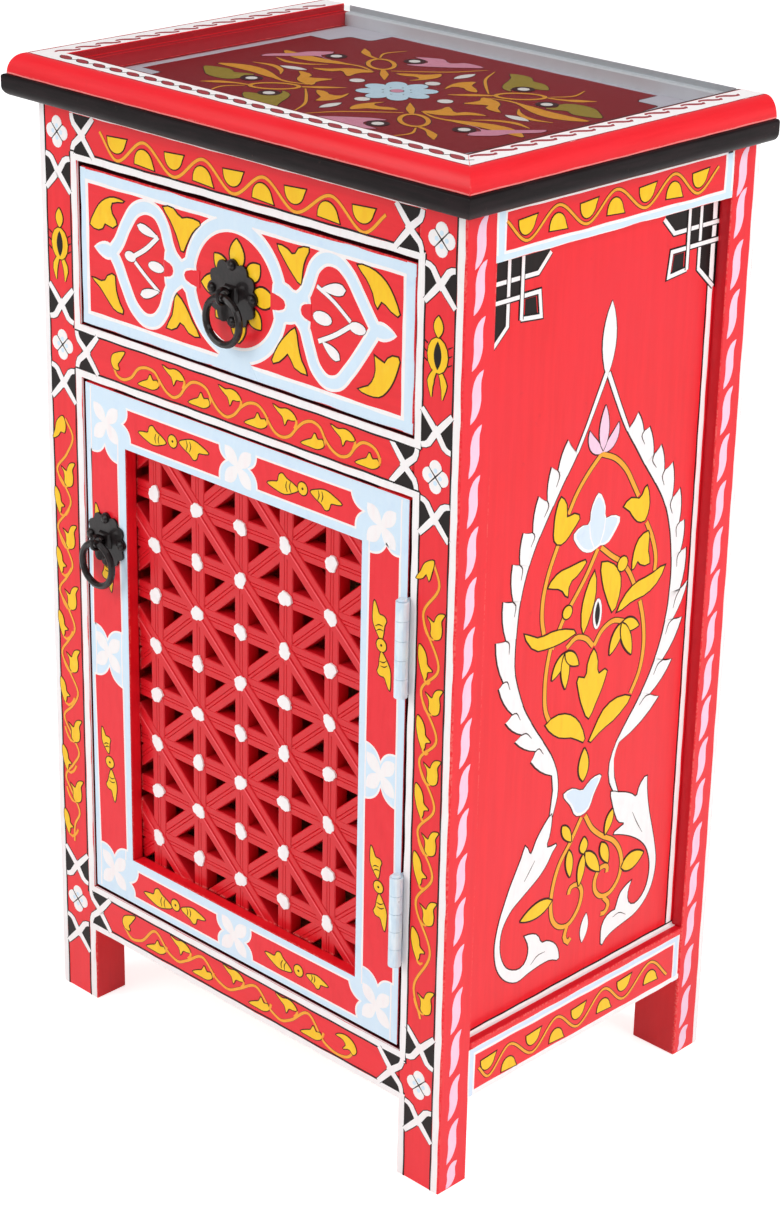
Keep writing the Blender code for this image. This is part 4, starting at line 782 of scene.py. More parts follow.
YELLOW_VINES = (
    [(129, 442), (118, 433), (108, 422), (102, 412)],
    [(94, 395), (87, 380), (83, 365), (83, 350), (85, 342)],
    [(92, 333), (89, 320), (88, 305), (90, 290), (93, 284)],
    [(129, 442), (142, 436), (152, 427), (160, 415), (165, 407)],
    [(174, 388), (181, 375), (185, 360), (184.5, 354)],
    [(172, 338), (176, 325), (178, 305), (175, 290), (168, 278)],
    [(130, 383), (121, 369), (111, 357), (103, 348), (98, 340), (93, 330)],
    [(133, 383), (143, 375), (153, 368), (160, 360), (166, 350)],
    [(130, 321), (123, 328), (114, 331), (106, 327)], [(131, 321), (138, 329), (148, 332), (157, 329)],
    [(127.5, 208), (118, 194), (109, 183), (104, 170), (102.5, 157), (105, 145), (112, 138), (119, 136.5),
     (127, 142), (131, 150), (131, 157), (127, 162), (120, 161.5), (119, 158)],
    [(119, 136), (117, 128), (121, 124), (123, 126)],
    [(131, 208), (138, 197), (148, 188), (160, 180), (167, 170), (169, 160), (166, 150), (158, 144),
     (150, 145), (144, 152), (144, 160), (149, 165.5), (155, 164), (155, 160)],
    [(153, 143), (158, 136), (155, 131.5), (151, 132)],
)
YELLOW_OUTLINES = (
    [(95, 424), (100, 418), (101, 410), (106, 411), (112, 408), (106, 401), (100, 396), (95, 395), (91, 398),
     (90, 408), (91, 416)],
    [(152, 403.5), (158, 407), (167, 405), (172, 411.5), (175, 404), (175, 395), (172, 389.5), (167, 390),
     (161, 395), (157, 400)],
    [(87, 370.5), (95, 377), (105, 378), (120, 378), (112, 371), (106, 368.5), (104, 359.5), (101, 364),
     (95, 368)],
    [(176, 381.5), (168, 379), (164, 372), (163.5, 360), (168, 365), (171, 361.5), (179, 360.5), (177, 368)],
    [(128, 369), (121, 358), (118, 345), (120.5, 332), (126, 342), (130, 355)],
    [(134.5, 373), (136, 360), (141, 348), (147, 338), (152, 348), (152, 360), (145, 369)],
    [(68, 347), (80, 341), (95, 341), (105, 339), (114, 335), (104, 332.5), (90, 332), (78, 334)],
    [(194, 354.5), (180, 352), (165, 350), (157, 345), (151, 337), (165, 340), (178, 341), (188, 346)],
    [(131, 318.5), (135, 310), (136, 301), (144, 302), (141, 292), (135, 282), (129.5, 274), (123, 284),
     (119, 295), (117.5, 304), (125, 302), (126, 310)],
    [(90, 282), (100, 285), (113, 281), (122, 272), (126.5, 259.5), (115, 266), (103, 270), (95, 276)],
    [(168, 276), (155, 279), (143, 275), (136, 266), (130.5, 257), (142, 262), (155, 266)],
)
YELLOW_BLADES = (
    ((105, 324), (94, 310), 8), ((105, 324), (106, 301), 8), ((105, 324), (117, 313), 8),
    ((156, 328), (146, 310.5), 9), ((156, 328), (172, 322), 9), ((156, 328), (166, 305), 9),
    ((127, 233), (127, 254.5), 10), ((110, 208), (118.5, 195), 7), ((117, 189), (119, 170.5), 7),
    ((103, 160), (75, 156.5), 11), ((157, 203), (151, 188), 7), ((148, 183), (155, 167), 8),
    ((169, 158), (190, 161), 13), ((131, 181), (128, 161), 7), ((133, 182), (147, 164), 9),
    ((131, 182), (131, 193), 8),
)
LOTUS = [
    (128, 418.5), (122, 410), (120.5, 401), (114, 401.5), (107, 397.5), (111, 390), (118, 384), (125, 382.5),
    (131, 384.5), (138, 384), (144, 389), (149, 397.5), (142, 401), (135.5, 401), (135, 408),
]
BLUE_TULIP = [
    (109.5, 230), (118, 231), (122, 229), (127, 226.5), (133, 230.5), (138, 232), (144, 231.5), (138, 220),
    (133, 211), (128, 209.5), (122, 211), (117, 219),
]


def ruled(sheet, colour, a, b, height):
    """A band between two edge curves of equally many points: cross lines join the points in turn."""
    samples = len(a)
    middle = (a + b) / 2
    half = (a - b) / 2
    across = np.array([1.0, 0.92, -0.92, -1.0])
    points = middle[:, None, :] + across[None, :, None] * half[:, None, :]
    lift = np.array([SUNK, height, height, SUNK])
    step = np.diff(middle, axis=0)
    leftward = np.sum(step[:, 0] * half[:-1, 1] - step[:, 1] * half[:-1, 0]) > 0
    ring = np.arange(samples - 1)[:, None]
    corner = np.arange(4)[None, :]
    turn = (corner + 1) % 4
    quads = np.stack([ring * 4 + corner, ring * 4 + turn, ring * 4 + 4 + turn, ring * 4 + 4 + corner],
                     axis=-1)
    last = (samples - 1) * 4
    faces = quads.reshape(-1, 4).tolist() + [[3, 2, 1, 0], [last, last + 1, last + 2, last + 3]]
    faces = faces if leftward else [face[::-1] for face in faces]
    pour(sheet, colour, points.reshape(-1, 2), np.tile(lift, samples), faces)


def feathered(sheet, inner, outer, way):
    """A ribbon with a smooth inner and a toothed outer edge; cross lines run in along the feathers."""
    fine = smooth_path(inner, 160)
    teeth = np.asarray(outer, float)
    away = np.linalg.norm(teeth[:, None, :] - fine[None, :, :], axis=2)
    share = np.argmin(away, axis=1)
    valley, tip = teeth[2:-3:2], teeth[3:-2:2]
    inward = (valley - tip) / np.linalg.norm(valley - tip, axis=1, keepdims=True)
    off = fine[None, :, :] - valley[:, None, :]
    beside = np.abs(off[..., 0] * inward[:, None, 1] - off[..., 1] * inward[:, None, 0])
    ahead = np.sum(off * inward[:, None, :], axis=2)
    share[3:-2:2] = np.argmin(np.where((ahead > 0) & (ahead < 30), beside, 1000.0), axis=1)
    share = np.maximum.accumulate(share).astype(float)
    share[0], share[-1] = 0.0, len(fine) - 1.0
    steps = 4
    t = (np.arange(steps) / steps)[None, :]
    side = np.diff(teeth, axis=0)
    bow = np.where(np.arange(len(side)) % 2 == 1, 0.07, -0.06)
    bow[:2] = 0.0
    bow[-2:] = 0.0
    out = way * np.stack([side[:, 1], -side[:, 0]], axis=1)
    swell = (4 * t * (1 - t) * bow[:, None])[..., None]
    edge = teeth[:-1, None, :] + t[..., None] * side[:, None, :] + swell * out[:, None, :]
    at = (share[:-1, None] + t * np.diff(share)[:, None]).ravel()
    edge = np.vstack([edge.reshape(-1, 2), teeth[-1:]])
    at = np.append(at, share[-1])
    inside = np.stack([np.interp(at, np.arange(len(fine)), fine[:, k]) for k in (0, 1)], axis=1)
    ruled(sheet, "white", edge, inside, MID)
    across = (edge - inside) / np.maximum(np.linalg.norm(edge - inside, axis=1, keepdims=True), 1e-6)
    ruled(sheet, "outline", edge + 0.85 * across, inside - 0.8 * across, MID - LINE_UNDER)
    for valley, tip, after in zip(teeth[4:-4:2], teeth[5:-3:2], teeth[6:-2:2]):
        inward = (valley - tip) / np.linalg.norm(valley - tip)
        along = (after - valley) / np.linalg.norm(after - valley)
        vein = [valley - 0.5 * inward, valley + 2.4 * inward + 1.6 * along,
                valley + 3.4 * inward + 9.0 * along]
        stroke(sheet, "outline", vein, [1.0, 0.9, 0.4], MID + 0.05)


def corner_knot(sheet, flip):
    """Interlaced white straps over black cells in an upper corner of the panel; flip mirrors it."""
    def put(points):
        p = np.asarray(points, float)
        return np.stack([251 - p[:, 0] if flip else p[:, 0], p[:, 1]], axis=1)

    for cell in ([(26, 575), (77, 575), (68, 564), (26, 564)], [(26, 560), (52, 560), (52, 553), (26, 553)],
                 [(26, 549.5), (41, 549.5), (41, 535), (26, 522)],
                 [(57, 549), (66, 549), (67.5, 538.5), (57, 540)]):
        fill(sheet, "black", put(cell), LOW - 0.03)
    straps = ([(26, 562), (67, 562), (77, 572)], [(43, 575), (43, 536.5), (28, 523)],
              [(26, 551.3), (68.5, 551.3), (70.5, 536.8), (54, 538.4)], [(54, 538.0), (54, 575)])
    for order, strap in enumerate(straps):
        stroke(sheet, "white", put(strap), 2.9, MID + CROSSING_STEP * order, sharp=True, edge=0.8,
               edge_colour="black")


def paint_panel(sheet):
    """A big bouquet: feathered ribbons and acanthus feet round yellow vines, leaves and blue tulips."""
    band(sheet, "white", (220.8, 97.8), (220.8, 575), 4.6, LOW)
    band(sheet, "black", (217.8, 98.0), (217.8, 575), 1.2, LOW)
    band(sheet, "white", (25.4, 96.7), (224.6, 96.7), 2.0, LOW + 0.01)
    band(sheet, "black", (25.4, 98.3), (224.6, 98.3), 1.2, LOW + 0.01)
    corner_knot(sheet, False)
    corner_knot(sheet, True)
    blade(sheet, "white", (130, 488), (131.5, 533), 13.5, MID + 0.05, belly=0.5, edge=0.4)
    feathered(sheet, LEFT_RIBBON_INNER, LEFT_FEATHERS, 1)
    feathered(sheet, RIGHT_RIBBON_INNER, RIGHT_FEATHERS, -1)
    for outline in (LEFT_ACANTHUS, RIGHT_ACANTHUS):
        fill(sheet, "white", soft_outline(outline, 2), MID + 0.05, edge=0.75)
    for vein in ACANTHUS_VEINS:
        stroke(sheet, "outline", vein, [0.3, 0.8, 0.3], HIGH + 0.03)
    blade(sheet, "pink", (130, 444), (130.5, 471), 9.4, HIGH + 0.05, belly=0.45, edge=0.6)
    for tip in ((117.5, 458.5), (143, 458)):
        blade(sheet, "pink", (130, 443), tip, 8.0, HIGH - 0.03, bend=0.14 if tip[0] < 130 else -0.14,
              edge=0.6)
    for vine in YELLOW_VINES:
        stroke(sheet, "orange", vine, 3.4, MID, edge=0.5)
    for outline in YELLOW_OUTLINES:
        fill(sheet, "yellow", soft_outline(outline, 2), HIGH, edge=0.95)
    for order, (base, tip, wide) in enumerate(YELLOW_BLADES):
        blade(sheet, "yellow", base, tip, wide, HIGH + 0.05 + CROSSING_STEP * (order % 3), edge=0.9)
    for centre, wide in (((105, 350), 8), ((153.5, 367), 9)):
        oval(sheet, "yellow", centre, wide, wide, HIGH + 0.1, edge=0.9)
    oval(sheet, "white", (132.5, 341), 8, 20, HIGH, edge=0.3)
    blade(sheet, "black", (132.5, 333), (132.5, 349), 5, TOP, belly=0.5)
    fill(sheet, "white", soft_outline(LOTUS, 2), HIGH, edge=0.2)
    fill(sheet, "ice", soft_outline(drawn_in(LOTUS, 0.88), 2), TOP)
    for line in ([(126.6, 384), (122.6, 392), (121, 402)], [(130.6, 384.5), (134, 392), (135.4, 402)]):
        stroke(sheet, "white", line, [0.8, 1.4, 0.6], TOP + 0.05)
    fill(sheet, "white", soft_outline(BLUE_TULIP, 2), HIGH, edge=0.55)
    fill(sheet, "ice", soft_outline(drawn_in(BLUE_TULIP, 0.86), 2), TOP)
    blade(sheet, "white", (134, 118.5), (137, 138), 8, MID, belly=0.5, edge=0.4)


# One quarter of the table's bouquet, from the middle of the panel: tulips with their dots, and leaves
PINK_TULIPS = (
    ([(57, 75), (49, 81), (40, 84), (35, 80), (30, 79), (26, 86), (19, 87), (9, 85), (16, 77), (22, 71),
      (32, 63), (39, 58), (47, 56), (41, 64), (42, 71), (49, 74)], (49, 66)),
    ([(83, 30), (91, 30), (98, 32), (106, 24), (115, 14), (123, 6), (124, 12), (119, 20), (114, 28),
      (113, 35), (107, 43), (101, 48), (98, 41), (100, 36), (95, 32)], (91, 40)),
)
OLIVE_TULIPS = (
    ([(13, 85), (21, 88), (30, 86), (36, 80), (43, 80), (51, 76), (57, 69), (51, 66), (43, 66), (39, 62),
      (41, 54), (45, 50), (37, 52), (30, 60), (25, 70), (20, 78)], (46, 60)),
    ([(86, 46), (88, 52), (96, 55), (106, 54), (115, 48), (124, 39), (115, 35), (106, 34), (99, 38),
      (93, 34), (86, 33), (90, 40)], (81, 41)),
)
TABLE_LEAVES = (
    [(33, 33), (26, 40), (19, 44), (14, 53), (9, 46), (10, 34), (15, 25), (14, 34), (19, 36), (27, 32)],
    [(77, 6), (69, 12), (62, 22), (55, 26), (44, 26), (49, 18), (47, 6), (54, 10), (60, 14), (63, 8)],
    [(66, 30), (78, 31), (93, 29), (108, 29), (125, 28), (118, 22), (108, 18), (95, 18), (83, 22), (73, 27)],
)
# Brush lines of the quarter: points, then widths along the line
TABLE_LINES = (
    ([(3, 82), (13, 63), (27, 48), (40, 36)], (0.8, 2.2, 2.2, 1.2)),
    ([(73, 84), (77, 68), (70, 57)], (0.8, 2.4, 1.2)),
    ([(95, 69), (86, 61), (77, 56), (69, 54)], (1.0, 7.0, 3.0, 2.4)),
    ([(47, 36), (38, 28), (26, 16)], (2.2, 6.5, 0.8)),
    ([(113, 10), (99, 7), (86, 12), (78, 20)], (0.8, 4.5, 4.0, 0.8)),
    ([(72, 30), (60, 31), (47, 27)], (3.0, 2.6, 1.2)),
)


def paint_table():
    """The panel under the glass: a maroon ground, a pale border with stepped corners, a mirrored bouquet."""
    sheet = TABLE_SHEET
    panel_fill(sheet, "maroon", (-158.5, -101.0), (158.5, 127.4), GROUND)
    # A brighter crimson strip along the left margin stands for the left rim's reflection in the glass:
    # painted reflection.
    panel_fill(sheet, "crimson", (-158.5, -101.0), (-154.0, 127.4), LOW - 0.03)
    middle_x, middle_y = -2.5, 12.5
    angle = np.linspace(0, 2 * np.pi, 28, endpoint=False)
    lean = math.radians(40)
    loop = np.stack([57 + 14.5 * np.cos(angle) * math.cos(lean) - 8 * np.sin(angle) * math.sin(lean),
                     45 + 14.5 * np.cos(angle) * math.sin(lean) + 8 * np.sin(angle) * math.cos(lean)],
                     axis=1)
    for flip_x in (-1, 1):
        band(sheet, "lilac", (middle_x + flip_x * 149.0, -100), (middle_x + flip_x * 149.0, 127), 7.4, LOW)
        for flip_y in (-1, 1):
            def put(points):
                return np.asarray(points, float) * (flip_x, flip_y) + (middle_x, middle_y)

            corner = put([(147, 113), (147, 71), (129, 71), (127, 86), (125, 88), (111, 88), (109, 91),
                          (109, 113)])
            fill(sheet, "lilac", corner, LOW + 0.01, edge=0.9, edge_colour="maroon_dark")
            band(sheet, "lilac", put([(0, 111)])[0], put([(147, 111)])[0], 7.0, LOW)
            for points, widths in TABLE_LINES:
                stroke(sheet, "mustard", put(points), widths, MID, edge=0.4, edge_colour="maroon_dark")
            ribbon(sheet, "maroon_dark", put(loop), 4.2, MID, closed=True)
            ribbon(sheet, "mustard", put(loop), 3.2, MID + 0.05, closed=True)
            for outline in TABLE_LEAVES:
                fill(sheet, "mustard", soft_outline(put(outline), 2), MID + 0.03, edge=0.5,
                     edge_colour="maroon_dark")
            colour, tulips = ("rose", PINK_TULIPS) if flip_x * flip_y < 0 else ("olive", OLIVE_TULIPS)
            for outline, dot in tulips:
                fill(sheet, colour, soft_outline(put(outline), 2), MID + 0.05, edge=0.5,
                     edge_colour="maroon_dark")
                oval(sheet, "maroon_dark", put([dot])[0], 14, 14, HIGH + 0.03)
                oval(sheet, "milk", put([dot])[0], 7.4, 7.4, TOP)
    for centre in ((34, 15), (-38, 15), (-2.5, 43), (-2, -17)):
        oval(sheet, "milk", centre, 9.4, 9.4, MID, edge=0.6)
    for tip, base in (((-3, 81), (-3, 62)), ((-3, -51), (-3, -33)), ((99, 15), (80, 16)),
                      ((-97, 8), (-78, 12))):
        blade(sheet, "milk", base, tip, 7.6, MID + 0.03, belly=0.5, edge=0.5)
    for way in range(8):
        turn = math.radians(45 * way)
        petal = (middle_x + 16 * math.cos(turn), middle_y + 16 * math.sin(turn))
        oval(sheet, "sky", petal, 17, 13, HIGH + 0.003 * way, edge=0.4, turn=45 * way)
    oval(sheet, "sky", (middle_x, middle_y), 17, 17, TOP)
    oval(sheet, "rose", (middle_x, middle_y), 8, 8, TOP + 0.06, edge=0.5)


# White border on the flat of the rims: how far it reaches out over the stand's faces and in to the glass
BORDER_OUT = 4.4
BORDER_IN = 12.4


def paint_rims():
    """The white border of the rims: a twisted rope of red lozenges at the front, S-curls at the sides."""
    reach = BORDER_OUT + BORDER_IN
    rear = GLASS_HIGH.y / MM
    half = SIDE / MM + BORDER_OUT
    start = FRONT / MM - BORDER_OUT
    front = Sheet("rim_front", "carcass", (0, FRONT - BORDER_OUT * MM, RIM_HIGH.z), X_AXIS, Y_AXIS, Z_AXIS)
    outline = [(-half + 0.5, 0.3, 0), (half - 0.5, 0.3, 0), (half - reach + 0.3, reach - 0.3, 0),
               (-half + reach - 0.3, reach - 0.3, 0)]
    fill(front, "white", arcs(outline, 3), GROUND)
    band(front, "crimson", (-half + 1.0, 0.6), (half - 1.0, 0.6), 0.9, LOW)
    for k in range(22):
        x = -154.0 + 15.05 * k
        blade(front, "outline", (x - 7.0, 11.4), (x + 7.0, 7.0), 7.2, LOW, belly=0.5)
        blade(front, "crimson", (x - 6.2, 11.1), (x + 6.2, 7.3), 6.0, MID, belly=0.5)
        stroke(front, "outline", [(x + 5.0, 6.9), (x + 7.5, 8.0), (x + 10.0, 11.4)], [0.5, 1.1, 0.5],
               LOW + 0.03)
    foot = RIM_LOW.z
    for way, name in ((1, "rim_right"), (-1, "rim_left")):
        side = Sheet(name, "carcass", (way * (SIDE + BORDER_OUT * MM), 0, RIM_HIGH.z), Y_AXIS, (-way, 0, 0),
                     Z_AXIS)
        outline = [(start + 0.5, 0.3, 0), (rear - 0.4, 0.3, 0), (rear - 0.4, reach - 0.3, 0),
                   (start + reach - 0.1, reach - 0.3, 0)]
        fill(side, "white", arcs(outline, 3), GROUND)
        band(side, "crimson", (start + 1.0, 0.6), (rear - 0.6, 0.6), 0.9, LOW)
        for y in np.arange(start + 14.0, rear - 18.0, 15.8):
            curl = [(0, 1.4), (1.6, 2.5), (4.0, 2.5), (7.4, 1.0), (10.9, -1.5), (13.6, -2.5), (16.0, -2.2),
                    (17.0, -0.9)]
            curl = [(y + along, 11.1 + way * across) for along, across in curl]
            stroke(side, "crimson", curl, [1.0, 2.6, 3.4, 4.2, 4.2, 3.6, 2.6, 1.2], MID)
        # A thin pale pink line along the foot of each side rim: painted highlight.
        hem = Sheet(f"{name}_foot", "carcass", (way * (SIDE + 13.0 * MM), 0, foot), Y_AXIS, Z_AXIS,
                    (way, 0, 0))
        band(hem, "blush", (FRONT / MM - 12.6, 0.5), (rear - 0.4, 0.5), 0.8, FILM)
    # A thin pale pink line along the foot of the front rim: painted highlight.
    hem = Sheet("rim_front_foot", "carcass", (0, FRONT - 13.0 * MM, foot), X_AXIS, Z_AXIS, FORWARD)
    band(hem, "blush", (-SIDE / MM - 12.6, 0.5), (SIDE / MM + 12.6, 0.5), 0.8, FILM)
    # The step inside the left rim is painted a darker red: painted shade.
    step = Sheet("rim_left_step", "carcass", (-SIDE + 12.5 * MM, 0, 0), Y_AXIS, Z_AXIS, X_AXIS)
    panel_fill(step, "garnet", (FRONT / MM + 13.0, 631.2), (rear - 0.4, 635.1), FILM)
    # The ledge under the left edge of the glass and its bed are painted a darker wine red: painted shade
    # under the glass.
    ledge = Sheet("rim_left_ledge", "carcass", (-SIDE + 17.5 * MM, 0, 0), Y_AXIS, Z_AXIS, X_AXIS)
    panel_fill(ledge, "wine", (FRONT / MM + 18.0, 623.2), (rear - 0.4, 630.6), FILM)
    bed = Sheet("rim_left_bed", "carcass", (0, 0, GLASS_LOW.z - 0.0002), X_AXIS, Y_AXIS, Z_AXIS)
    panel_fill(bed, "wine", (-SIDE / MM + 12.7, FRONT / MM + 18.0), (-SIDE / MM + 17.4, rear - 0.4), FILM)
    # Dark lines on top of the glass along its right and front edges, where it meets the rims: painted shade.
    edge_shade = Sheet("glass_seal", "carcass", (0, 0, GLASS_HIGH.z), X_AXIS, Y_AXIS, Z_AXIS)
    inner = SIDE / MM - BORDER_IN - 1.6
    band(edge_shade, "outline", (inner, FRONT / MM + 13.6), (inner, rear - 0.4), 2.4, FILM)
    band(edge_shade, "outline", (-inner, FRONT / MM + 13.6), (inner, FRONT / MM + 13.6), 1.0, FILM)


def paint_reveals():
    """Paint that runs into the gaps beside the drawer and the door and into the side panels' recesses: white
    at the lip, and darker paint behind it as painted shade.
    """
    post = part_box("post_front_left")[1].x
    left = Sheet("post_reveal", "carcass", (post, FRONT, 0), Y_AXIS, Z_AXIS, X_AXIS)
    for low, high in ((87.0, 440.6), (475.4, 576.6)):
        panel_fill(left, "white", (0.2, low), (1.0, high), FILM)
        # Dark maroon behind the lip: painted shade inside the gap.
        panel_fill(left, "maroon_dark", (1.2, low), (16.0, high), FILM)
    for node in ("rail_front_bottom", "rail_front_middle"):
        sill = Sheet(f"{node}_lip", "carcass", (0, FRONT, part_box(node)[1].z), X_AXIS, Y_AXIS, Z_AXIS)
        panel_fill(sill, "white", (-139.8, 0.2), (139.8, 1.0), FILM)
        # Dark maroon behind the lip: painted shade inside the gap.
        panel_fill(sill, "maroon_dark", (-139.8, 1.2), (139.8, 16.0), FILM)
    for way, name in ((1, "right"), (-1, "left")):
        out = (PANEL if way > 0 else -PANEL, 0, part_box(f"rail_{name}_bottom")[1].z)
        shelf = Sheet(f"{name}_panel_shelf", "carcass", out, Y_AXIS, (way, 0, 0), Z_AXIS)
        near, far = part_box(f"post_front_{name}")[1].y / MM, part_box(f"post_rear_{name}")[0].y / MM
        deep = (SIDE - PANEL) / MM
        panel_fill(shelf, "white", (near + 0.2, 0.1), (far - 0.2, 0.36 * deep), FILM)
        # Behind the white lip the shelf is painted a darker red: painted shade in the panel's recess.
        panel_fill(shelf, "garnet", (near + 0.2, 0.36 * deep + 0.1), (far - 0.2, deep - 0.3), FILM)
        # The rear post's cheek beside the panel is painted a darker red: painted shade in the recess.
        cheek = Sheet(f"{name}_panel_cheek", "carcass", (out[0], far * MM, 0), (way, 0, 0), Z_AXIS, FORWARD)
        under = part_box(f"rail_{name}_top")[0].z / MM
        panel_fill(cheek, "garnet", (0.2, out[2] / MM + 0.3), (deep - 0.3, under - 0.3), FILM)
    for node, body in (("drawer_front", "drawer"), ("door_rail_top", "door")):
        low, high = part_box(node)
        upper = Sheet(f"{node}_upper", body, (0, FACE, high.z), X_AXIS, Y_AXIS, Z_AXIS)
        # Dark maroon on the top face: painted shade in the gap above the drawer and the door.
        panel_fill(upper, "maroon_dark", (low.x / MM + 0.6, 0.6), (high.x / MM - 0.6, 16.0), FILM)
    for node, body in (("drawer_front", "drawer"), ("door_stile_right", "door")):
        low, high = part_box(node)
        edge = Sheet(f"{node}_edge", body, (high.x, FACE, 0), Y_AXIS, Z_AXIS, X_AXIS)
        # Dark maroon on the right edge face: painted shade in the gap.
        panel_fill(edge, "maroon_dark", (0.6, low.z / MM + 0.6), (16.0, high.z / MM - 0.6), FILM)


def build_mesh(name, vertices, faces, smooth=None):
    """A mesh object at the origin from vertices and faces; smooth is the sharp-edge angle in radians."""
    mesh = bpy.data.meshes.new(name)
    mesh.from_pydata(np.asarray(vertices), [], faces)
    if smooth is not None:
        mesh.shade_smooth()
        mesh.set_sharp_from_angle(angle=smooth)
    mesh.update()
    piece = bpy.data.objects.new(name, mesh)
    bpy.context.scene.collection.objects.link(piece)
    return piece


def joined(name, forms):
    """One piece from several closed forms, each given as its points and faces."""
    starts = np.cumsum([0] + [len(points) for points, _ in forms])
    vertices = np.vstack([points for points, _ in forms])
    faces = [[index + start for index in face] for (_, group), start in zip(forms, starts) for face in group]
    return build_mesh(name, vertices, faces)


def gather_paint(finishes):
    """One piece for every colour on every sheet: all its brush marks joined, riding on the sheet's body."""
    for (sheet_name, body, colour), marks in POTS.items():
        piece = joined(f"paint_{sheet_name}_{colour}", marks)
        piece.data.materials.append(finishes[colour])
        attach(piece, body)


LATTICE_COLUMN_PITCH = 0.0386
LATTICE_ROW_PITCH = 0.0339
LATTICE_SHIFT_X = -0.0077
LATTICE_SHIFT_Z = -0.0031
# Sections of the lattice bars, across and up from the face: scored, beaded, and a bead's painted highlight
# line
SCORED_BAR = [(-5.8, -9.0), (-5.8, -0.6), (-5.2, 0.0), (-1.5, 0.0), (-1.1, -0.5), (-0.7, 0.0), (0.7, 0.0),
              (1.1, -0.5), (1.5, 0.0), (5.2, 0.0), (5.8, -0.6), (5.8, -9.0)]
BEADED_BAR = [(-5.8, -9.0), (-5.8, -0.6), (-5.2, 0.0), (-1.3, 0.0), (-0.8, 0.55), (0.8, 0.55), (1.3, 0.0),
              (5.2, 0.0), (5.8, -0.6), (5.8, -9.0)]
BEAD_LINE = [(-0.5, -0.5), (-0.45, 0.62), (0.45, 0.62), (0.5, -0.5)]


def lattice_nodes():
    """Crossing points of the lattice as arrays of column and row numbers with their x and z."""
    middle_x = (LATTICE_LEFT + LATTICE_RIGHT) / 2 + LATTICE_SHIFT_X
    middle_z = (LATTICE_BASE + LATTICE_TOP) / 2 + LATTICE_SHIFT_Z
    i, j = np.meshgrid(np.arange(-2, 3), np.arange(-4, 4), indexing="ij")
    return i, j, middle_x + i * LATTICE_COLUMN_PITCH, middle_z + (j + 0.5) * LATTICE_ROW_PITCH


def lattice_bar(through, direction, drop, profile=SCORED_BAR):
    """One bar: the section carried along the direction and cut off at the four sides of the opening."""
    section = np.asarray(profile) * MM
    direction = np.asarray(direction, float) / np.linalg.norm(direction)
    sideways = np.array([-direction[1], direction[0]])
    start = np.asarray(through) + section[:, :1] * sideways
    low = np.array([LATTICE_LEFT - 0.0004, LATTICE_BASE - 0.0004])
    high = np.array([LATTICE_RIGHT + 0.0004, LATTICE_TOP + 0.0004])
    safe = np.where(np.abs(direction) < 1e-9, 1e-9, direction)
    one = (low - start) / safe
    two = (high - start) / safe
    enter = np.max(np.minimum(one, two), axis=1)
    leave = np.min(np.maximum(one, two), axis=1)
    if np.median(leave - enter) < 0.004:
        return None
    leave = np.maximum(leave, enter + 1e-5)
    count = len(section)
    ends = [start + at[:, None] * direction for at in (enter, leave)]
    depth = LATTICE_FACE - section[:, 1] + drop
    points = np.vstack([np.stack([end[:, 0], depth, end[:, 1]], axis=1) for end in ends])
    k = np.arange(count)
    turn = (k + 1) % count
    faces = np.stack([k, turn, turn + count, k + count], axis=1).tolist()
    return points, faces + [list(range(count))[::-1], list(range(count, 2 * count))]


def lattice_pieces():
    """All bars and the painted highlight lines on the beads; slanting bars pass crossings whose column and
    row sum is even.
    """
    i, j, x, z = lattice_nodes()
    slope = np.array([LATTICE_COLUMN_PITCH, LATTICE_ROW_PITCH])
    bars = [lattice_bar((cx, 0.26), (0, 1), 0.0002) for cx in x[:, 0]]
    bars += [lattice_bar((0.0, cz), (1, 0), 0.0005) for cz in z[0]]
    lines = []
    for step in range(-8, 10, 2):
        at = np.array([x[2, 0], z[0, 4] + step * LATTICE_ROW_PITCH])
        bars.append(lattice_bar(at, slope, 0.0008))
        bars.append(lattice_bar(at, slope * (1, -1), -0.0002, BEADED_BAR))
        lines.append(lattice_bar(at, slope * (1, -1), -0.0002, BEAD_LINE))
    bars = [bar for bar in bars if bar is not None]
    lines = [line for line in lines if line is not None]
    return joined("lattice_bars", bars), joined("lattice_worn_lines", lines)


def paint_lattice():
    """A rough white dab on every crossing: a low dome over an uneven ring."""
    i, j, x, z = lattice_nodes()
    count = 26
    angle = np.linspace(0, 2 * np.pi, count, endpoint=False)
    ring = np.stack([np.cos(angle), np.sin(angle)], axis=1)
    k = np.arange(count)
    turn = (k + 1) % count
    for column, row, cx, cz in zip(i.ravel(), j.ravel(), x.ravel() / MM, z.ravel() / MM):
        seed = 1.7 * column + 2.9 * row
        uneven = 5.2 + 0.6 * np.sin(2 * angle + seed) + 0.3 * np.sin(3 * angle + 2 * seed)
        uneven = uneven + 0.2 * np.sin(5 * angle - seed) + 0.28 * np.sin(9 * angle + 3 * seed)
        rings = [ring * uneven[:, None] * share for share in (1.0, 0.95, 0.55)]
        points = np.vstack(rings + [np.zeros((1, 2))]) + (cx, cz)
        heights = np.concatenate([np.full(count, -1.6), np.full(count, 0.8), np.full(count, 1.05), [1.1]])
        faces = []
        for layer in (0, count):
            faces += np.stack([layer + k, layer + turn, layer + count + turn, layer + count + k],
                              axis=1).tolist()
        faces += np.stack([np.full(count, 3 * count), 2 * count + k, 2 * count + turn], axis=1).tolist()
        faces.append(list(range(count))[::-1])
        pour(LATTICE_SHEET, "white", points, heights, faces)


